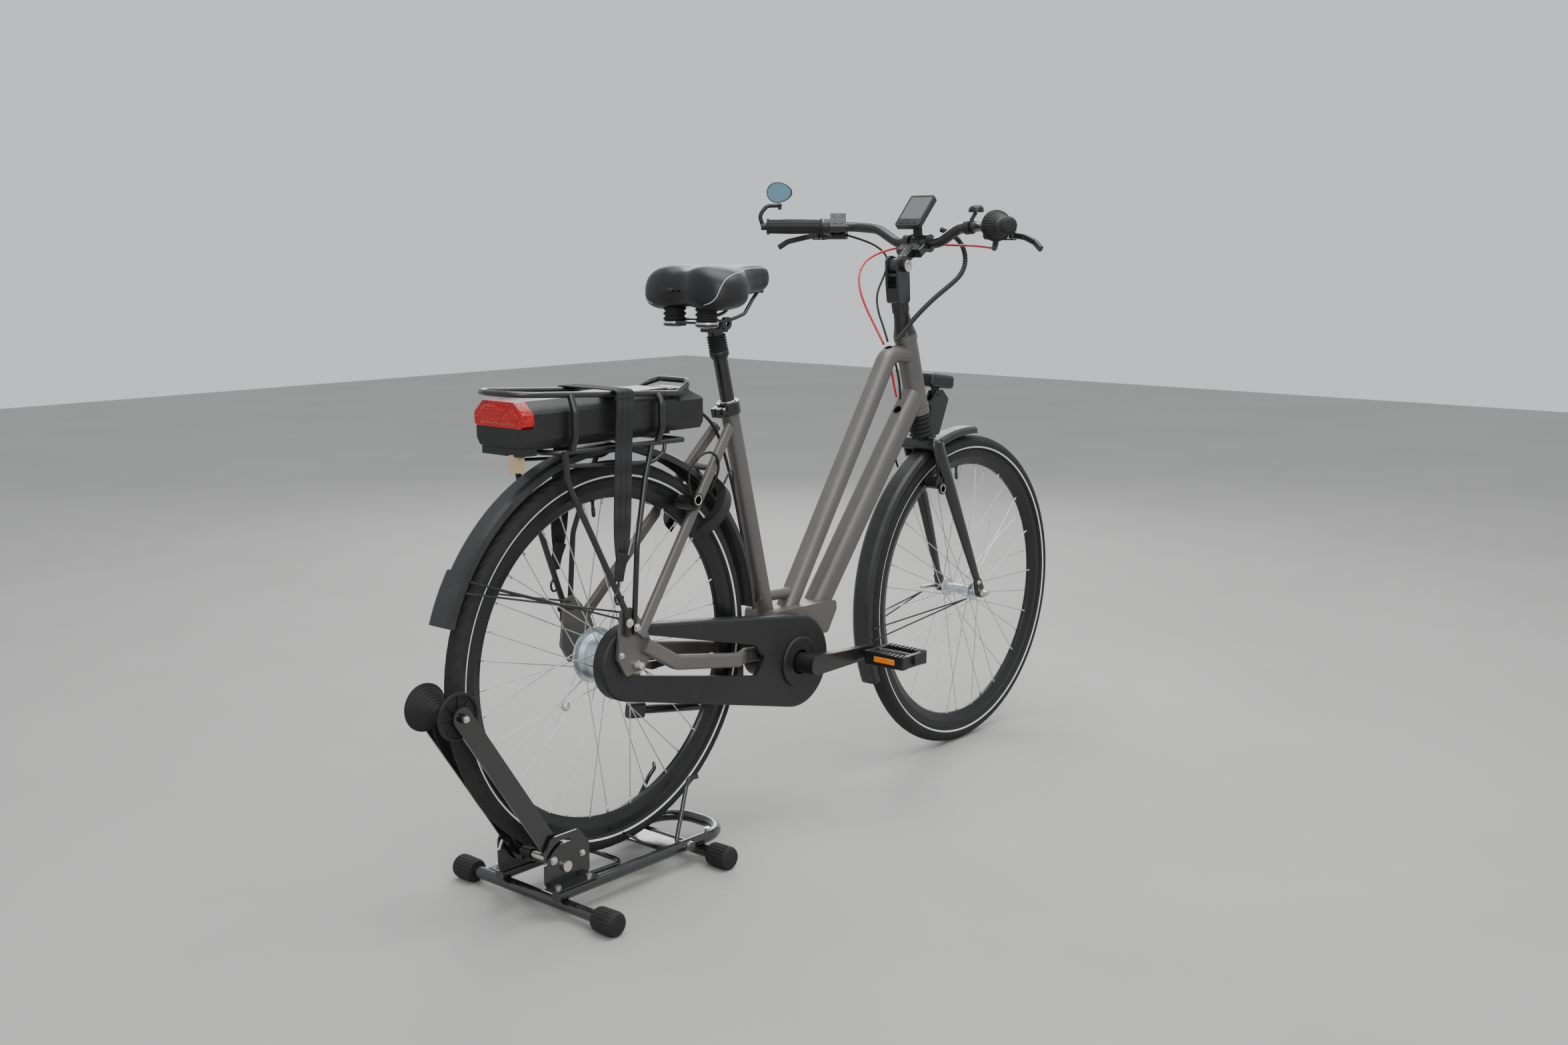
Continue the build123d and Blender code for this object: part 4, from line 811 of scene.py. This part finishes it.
def cable(name, path, radius, finish, body, wrap=0.0):
    """Cable along its line. Wrap is the height of a wound sleeve's rings,
    for which the line is cut into even steps and the radius follows a cosine along it."""
    sleeve_step, sleeve_pitch = 0.0011, 0.0062
    length = path_length(path)
    line = path
    section = circle(12, radius)
    if wrap:
        even = np.linspace(0, length[-1], int(length[-1] / sleeve_step))
        line = np.stack([np.interp(even, length, path[:, axis]) for axis in range(3)], -1)
        ring = radius + wrap * np.cos(even / sleeve_pitch * TURN)
        section = circle(12)[None] * ring[:, None, None]
    points, faces = carried(line, section)
    piece = mesh_piece(name, points, faces, finish, body)
    2 * radius
    return piece


# Radius, finish, sleeve, the route, and the point of the route at which the cable is cut in two
CONTROL_ROUTES = {
    "shift_cable": (0.0024, RED_CABLE, 0.0, [
        (874.6, -222.3, 1112), (893, -180, 1116), (914, -128, 1118), (936, -70, 1118), (950, -14, 1120),
        (940, 38, 1116), (904, 72, 1108), (858, 86, 1092), (818, 80, 1066), (800, 66, 1030), (798, 46, 990),
        (804, 26, 952), (812, 8, 914),
    ], 8),
    "left_hose": (0.0024, CABLE_SKIN, 0.0, [
        (901.6, 180.6, 1139), (914, 140, 1128), (926, 104, 1110), (916, 76, 1086), (886, 64, 1056),
        (852, 60, 1018), (834, 42, 982), (828, 22, 950), (822, 6, 920),
    ], 4),
    "loom": (0.0052, CABLE_SKIN, 0.0005, [
        (944, -40, 1150), (980, -46, 1140), (1008, -52, 1116), (1014, -56, 1084), (994, -58, 1056),
        (954, -56, 1034), (914, -50, 1012), (880, -40, 986), (850, -26, 954), (830, -12, 922),
    ], 4),
}
for name, (radius, finish, wrap, route, meeting) in CONTROL_ROUTES.items():
    path = cable_path(route)
    shared = int(np.argmin(np.linalg.norm(path - place(*route[meeting]), axis=1)))
    upper = cable(f"{name}_upper", path[:shared + 1], radius, finish, None, wrap)
    lower = cable(f"{name}_lower", path[shared:], radius, finish, None, wrap)
    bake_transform(upper)
    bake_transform(lower)
    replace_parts(upper, "control_cables")

FIXED_CABLES = {
    "seat_lead": (0.003, CABLE_SKIN, [
        (194.7, 0, 838), (244, 0, 830), (313, 0, 758), (389, 0, 454), (402, 0, 438)]),
    "frame_inner_red": (0.0024, RED_CABLE, [
        (824, 4, 886), (832, 6, 868), (840, 6, 846), (846, 6, 826), (852, 4, 802)]),
    "frame_inner_black": (0.0026, CABLE_SKIN, [
        (830, -5, 886), (838, -6, 866), (846, -6, 842), (852, -5, 820), (856, -3, 798)]),
    "rear_brake_hose_right": (0.0024, CABLE_SKIN, [
        (168, -52, 676), (150, -56, 712), (172, -58, 746), (216, -50, 756), (254, -38, 738), (262, -30, 704),
        (244, -26, 676)]),
    "lock_lead": (0.002, CABLE_SKIN, [
        (262, -44, 690), (284, -38, 712), (306, -26, 706), (322, -12, 680), (336, -6, 640)]),
}
for name, (radius, finish, route) in FIXED_CABLES.items():
    cable(name, cable_path(route), radius, finish, "bicycle")
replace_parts(bpy.data.objects["seat_lead"], "frame_cables")
for side, side_name in SIDES:
    cable(f"front_brake_hose_{side_name}", cable_path([
        (937, side * 46, 622), (920, side * 58, 650), (918, side * 50, 684), (938, side * 30, 712),
        (958, side * 12, 722)]), 0.0024, CABLE_SKIN, "front_fork")


# ---------------------------------------------------------------- stand


ROLLER_X, ROLLER_Z = -360, 387


def cone_roller(name, side):
    """Ribbed roller cone: a radius that grows with the distance from the middle and is cut by rings,
    then the rim and hub of its outer face, with spokes between them."""
    ring_pitch, ring_depth, spoke_ribs = 4.6, 0.8, 8
    across = np.linspace(3, 40, 150)
    radius = 4.6 + 0.85 * across - ring_depth * (np.cos(across / ring_pitch * TURN) > 0.35)
    face_profile = np.array([
        (40, 39.5), (41, 40), (44, 40), (45, 39), (45, 35), (42, 34), (42, 9), (46, 9), (46, 4.2), (3, 4.2),
        (3, 7)])
    profile = np.vstack([np.stack([across, radius], -1), face_profile]) * [side * MM, MM]
    points, faces = lathe(place(ROLLER_X, 0, ROLLER_Z), (0, 1, 0), profile, 64)
    if side > 0:
        faces = flipped(faces)
    shapes = [(points, faces)]
    for index in range(spoke_ribs):
        out = wheelwards(index / spoke_ribs * 360)
        spot = place(ROLLER_X, side * 42.6, ROLLER_Z) + out * 0.0215
        shapes.append(slab(spot, out, np.cross(out, (0, 1, 0)), 0.025, 0.003, 0.004, 0.001, 2))
    points, faces = joined(shapes)
    return mesh_piece(name, points, faces, RUBBER, "rollers", smooth=False)


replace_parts(cone_roller("roller_right", -1), "stand_rollers")
cone_roller("roller_left", 1)


def stand_foot(name, x, side, reach):
    """Rubber foot cap with flutes round its sleeve and a flat where it meets the floor."""
    length, height = 50, 21.5
    share = [0, 0.02, 0.06, 0.1, 0.8, 0.9, 0.97, 1.0]
    radius = np.array([11.5, 18.8, 19.6, 21.2, 21.8, 21.0, 18.5, 14.0]) * MM
    flute = [0, 0, 0, 1, 1, 0.4, 0, 0]
    fine = np.linspace(0, 7, 43)
    profile = np.stack([np.interp(fine, np.arange(8), column) for column in (share, radius, flute)], -1)
    piece = fluted(name, place(x, side * (reach - length), height), place(x, side * reach, height), profile,
                   20, 0.0016, RUBBER, "stand", 160)
    co = np.empty(len(piece.data.vertices) * 3)
    piece.data.vertices.foreach_get("co", co)
    co = co.reshape(-1, 3)
    co[:, 2] = np.maximum(co[:, 2], 0.0)
    piece.data.vertices.foreach_set("co", co.ravel())
    return piece


for x, reach, end_name in ((-175, 205, "rear"), (161, 150, "front")):
    for side, side_name in SIDES:
        foot = stand_foot(f"foot_{end_name}_{side_name}", x, side, reach)
        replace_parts(foot, "stand_feet")


def coil_spring(name, side):
    """Torsion spring: a helix round the pivot shaft, with a leg at each end."""
    pivot_x, pivot_z, radius, turns, inner, outer = -160, 84, 8.6, 9, side * 22, side * 46
    angle = np.linspace(0, turns * TURN, turns * 20)
    y = np.linspace(inner, outer, len(angle))
    coil = np.stack([pivot_x + radius * np.cos(angle), y, pivot_z + radius * np.sin(angle)], -1)
    inner_leg = [(-128, inner, 62), (-146, inner, 76)]
    outer_leg = [(-176, outer, 98), (-190, outer, 122)]
    points = (np.vstack([inner_leg, coil, outer_leg]) - np.array([ORIGIN_X, 0, 0])) * MM
    shape, faces = carried(points, circle(8, 0.0013))
    mesh_piece(name, shape, faces, SATIN_BLACK, "stand")


coil_spring("return_spring_right", -1)
coil_spring("return_spring_left", 1)


def hex_bolt(name, spot, side, size, body):
    """Hexagon head on a washer, on an axis across the bicycle."""
    height, washer_height = 0.004, 0.0012
    axis = np.array([0, side, 0.0])
    washer = lathe(spot, axis, [
        (0, 0), (0, size * 0.72), (washer_height, size * 0.72), (washer_height, 0)], 24)
    head = lathe(spot + axis * washer_height, axis, [
        (0, size * 0.56), (height * 0.8, size * 0.56), (height, size * 0.46), (height, 0)], 6)
    points, faces = joined([washer, head])
    mesh_piece(name, points, faces, ZINC, body, smooth=False)


BOLTS = [
    ("lug_upper", (-25, 87.4, 486), 11, "bicycle"), ("lug_lower", (-8, 87.2, 475), 10, "bicycle"),
    ("chain_tensioner", (-34, 75, 428), 8, "bicycle"), ("fork_eye", (1082, 59, 374), 7, "front_fork"),
    ("stand_plate_rear", (-186, 61.5, 100), 10, "stand"),
    ("stand_plate_front", (-122, 61.5, 96), 8, "stand"),
    ("kickstand_pivot", (372, 62.4, 285), 14, "bicycle"),
]
for name, (x, y, z), size, body in BOLTS:
    for side, side_name in SIDES:
        if name == "kickstand_pivot" and side < 0:
            continue
        hex_bolt(f"{name}_bolt_{side_name}", place(x, side * y, z), side, size * MM, body)

BRAKE_CAPS = (("rear", (172, 60, 672), "bicycle"), ("front", (945, 50, 601), "front_fork"))
for name, (x, y, z), body in BRAKE_CAPS:
    for side, side_name in SIDES:
        turned(f"{name}_brake_cap_{side_name}", place(x, side * (y + 1), z), (0, side, 0),
               [(0, 0.0), (0, 0.0125), (0.0035, 0.012), (0.0045, 0.0105), (0.0035, 0.0095), (0.0035, 0.0)],
               CONTROL_PLASTIC, body)
        turned(f"{name}_brake_ring_{side_name}", place(x, side * (y + 4.6), z), (0, side, 0),
               [(0, 0.0095), (0.0008, 0.0092), (0.0008, 0.0078), (0, 0.0075)], ZINC, body)
for side, side_name in SIDES:
    hex_bolt(f"roller_nut_{side_name}", place(ROLLER_X, side * 62, ROLLER_Z), side, 8 * MM, "lift_arm")
    turned(f"seat_clamp_bolt_{side_name}", place(298, side * 9, 820), (0, side, 0),
           [(0, 0), (0, 0.0042), (0.004, 0.0042), (0.005, 0.0036), (0.005, 0)], ZINC, "bicycle", 20)


def keypad():
    """Four pale dots round the middle of the control box's face."""
    lean = math.radians(35)
    face = np.array([-0.781 * math.cos(lean), -0.624 * math.cos(lean), math.sin(lean)])
    along = np.array([-0.624, 0.781, 0.0])
    up = np.cross(along, face)
    up = up if up[2] > 0 else -up
    centre = bar_place(149) + np.array([-0.007, -0.006, 0.008]) + face * 0.0114
    dot, reach = 0.0022, 0.011
    shapes = []
    for right, rise in ((0, reach), (0, -reach), (reach, 0), (-reach, 0)):
        shapes.append(slab(centre + along * right + up * rise, along, up, dot, dot, 0.0006, 0.0009, 3))
    points, faces = joined(shapes)
    mesh_piece("keypad_dots", points, faces, PALE_PIPING, "handlebars", smooth=False)


keypad()


def card_tag():
    """Plain card tag tied under the rack's tail."""
    points, faces = slab(place(-219, -34, 775), (0.6, -0.75, 0), (0, 0, 1), 0.026, 0.03, 0.0006, 0.002, 3)
    mesh_piece("card_tag", points, faces, TAG, "bicycle", smooth=False)


card_tag()

# ---------------------------------------------------------------- straps, lamp, pedals

STRAP_PLACES = (-27.5, -14.5, -1.5)
STRAP_WIDTH = 0.0122


def strap_band(x, y_side):
    """One elastic band from the rack's top rail down to its hook: a flat section square to its route."""
    route = curve_through([
        (x, y_side * 60, 883), (x, y_side * 71, 881), (x - 1, y_side * 76, 868), (x - 8, y_side * 77, 780),
        (x - 16, y_side * 79, 650), (x * 0.35 - 30, y_side * 80, 588)], 8)
    points = (route - np.array([ORIGIN_X, 0, 0])) * MM
    heading = np.gradient(points, axis=0)
    heading /= np.linalg.norm(heading, axis=1, keepdims=True)
    across = np.array([1.0, 0, 0]) - heading * heading[:, :1]
    across /= np.linalg.norm(across, axis=1, keepdims=True)
    out = np.cross(across, heading)
    half, thick = STRAP_WIDTH / 2, 0.0011
    corners = [points + across * half * a + out * thick * b for a, b in ((1, 1), (-1, 1), (-1, -1), (1, -1))]
    rings = np.stack(corners, 1)
    faces = grid_faces(len(points), 4, wrap_columns=True) + end_faces(len(points), 4)
    return rings.reshape(-1, 3), faces


def strap_band_top(x):
    """Band lying across the two rails of the rack."""
    return slab(place(x, 0, 883), (1, 0, 0), (0, 1, 0), STRAP_WIDTH, 0.124, 0.0022, 0.0008, 2)


def strap_end(side_name, y_side):
    """Flat oval rubber end that narrows downwards, and the bent wire hook under it."""
    end = curve_through([(-30, y_side * 79.5, 606), (-37, y_side * 80, 585), (-41, y_side * 80.5, 560)], 6)
    size = np.linspace(1, 0.62, len(end))[:, None, None]
    oval = circle(16)[None] * np.array([0.0055, 0.015]) * size
    shape, faces = carried((end - np.array([ORIGIN_X, 0, 0])) * MM, oval)
    mesh_piece(f"strap_end_{side_name}", shape, faces, RUBBER, "bicycle")
    hook = [(-41, 80, 566), (-44, 80.5, 548), (-52, 81, 534), (-48, 81.5, 522), (-36, 81, 524),
            (-33, 80.5, 534)]
    rod(f"strap_hook_{side_name}", [place(x, y_side * y, z) for x, y, z in hook], 0.0022, SATIN_BLACK,
        "bicycle")


def straps():
    """Three elastic bands over the rack, joined at a rubber end with a wire hook on each side."""
    for y_side, side_name in SIDES:
        points, faces = joined([strap_band(x, y_side) for x in STRAP_PLACES])
        piece = mesh_piece(f"strap_bands_{side_name}", points, faces, WEBBING, "bicycle",
                           smooth=False)
        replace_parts(piece, "rack_straps")
        strap_end(side_name, y_side)
    points, faces = joined([strap_band_top(x) for x in STRAP_PLACES])
    mesh_piece("strap_bands_top", points, faces, WEBBING, "bicycle", smooth=False)


straps()


def lamp_face():
    """Rear pane of the tail lamp: a six-sided facet with sloping edges."""
    low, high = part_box("tail_light")
    centre = np.array([low[0] - 0.0004, 0, (low[2] + high[2]) / 2])
    outline = np.array([(-50, -2), (-34, 15), (34, 15), (50, -2), (44, -16), (-44, -16)]) * MM
    back = np.stack([np.zeros(6), outline[:, 0], outline[:, 1]], -1)
    rings = np.vstack([back + centre, back * [1, 0.93, 0.8] + centre + [-0.0022, 0, 0]])
    faces = grid_faces(2, 6, wrap_columns=True) + [[6, 7, 8, 9, 10, 11]]
    mesh_piece("tail_lamp_pane", rings, faces, RED_LENS, "battery_pack", smooth=False)


lamp_face()


def pedal_details(name, centre):
    """Amber reflectors on a pedal's front and back edges, and grip studs on its treads."""
    for end, end_name in ((-1, "back"), (1, "front")):
        spot = centre + np.array([end * 0.0418, 0, 0])
        points, faces = slab(spot, (0, 1, 0), (0, 0, 1), 0.05, 0.011, 0.0024, 0.002)
        # The reflectors' amber finish has a painted glow in its emission
        mesh_piece(f"{name}_reflector_{end_name}", points, faces, AMBER_PAINTED_GLOW, name, smooth=False)
    stud_rows, stud_pitch = 9, 0.0098
    studs = []
    for tread in (-0.033, 0.033):
        for row in range(stud_rows):
            for face in (-1, 1):
                spot = centre + np.array([tread, (row - stud_rows // 2) * stud_pitch, face * 0.0133])
                studs.append(slab(spot, (1, 0, 0), (0, 1, 0), 0.012, 0.0035, 0.0016, 0.0008, 2))
    points, faces = joined(studs)
    mesh_piece(f"{name}_treads", points, faces, RUBBER, name, smooth=False)


pedal_details("right_pedal", middle("pedal_right"))
pedal_details("left_pedal", middle("pedal_left"))

# ---------------------------------------------------------------- floor and light

floor_mesh = bpy.data.meshes.new("studio_floor")
floor_mesh.from_pydata([(-9, -9, 0), (9, -9, 0), (9, 9, 0), (-9, 9, 0)], [], [(0, 1, 2, 3)])
floor = bpy.data.objects.new("studio_floor", floor_mesh)
bpy.context.collection.objects.link(floor)
FLOOR = Finish("studio_floor", Roughness=0.75)
FLOOR.set(Base_Color=FLOOR.mix(FLOOR.noise(1.2, 6, 0.6), (0.33, 0.325, 0.315), (0.42, 0.415, 0.405)))
floor_mesh.materials.append(FLOOR.material)

world = bpy.data.worlds.new("studio")
bpy.context.scene.world = world
world.use_nodes = True
world.node_tree.nodes["Background"].inputs["Color"].default_value = (0.95, 0.97, 1.0, 1)
world.node_tree.nodes["Background"].inputs["Strength"].default_value = 0.8


def soft_light(name, spot, target, size, power):
    """A square studio light that faces a point."""
    lamp = bpy.data.lights.new(name, "AREA")
    lamp.energy = power
    lamp.size = size
    made = bpy.data.objects.new(name, lamp)
    made.location = spot
    made.rotation_euler = (Vector(target) - Vector(spot)).to_track_quat("-Z", "Y").to_euler()
    bpy.context.collection.objects.link(made)


soft_light("overhead", (0.2, -0.4, 3.6), (0, 0, 0.5), 3.0, 130)
soft_light("left_front", (-2.6, -3.2, 2.4), (0, 0, 0.6), 2.0, 70)
soft_light("right_back", (2.6, 2.4, 2.2), (0, 0, 0.6), 2.0, 60)

camera_data = bpy.data.cameras.new("studio_camera")
camera_data.sensor_width = 36.0
camera_data.lens = 37.62
camera = bpy.data.objects.new("studio_camera", camera_data)
camera.location = place(-1924.8, -2059.8, 1137.1)
VIEW_DIRECTION = Vector((0.7484, 0.6404, -0.1723))
camera.rotation_euler = VIEW_DIRECTION.to_track_quat("-Z", "Y").to_euler()
bpy.context.collection.objects.link(camera)
bpy.context.scene.camera = camera
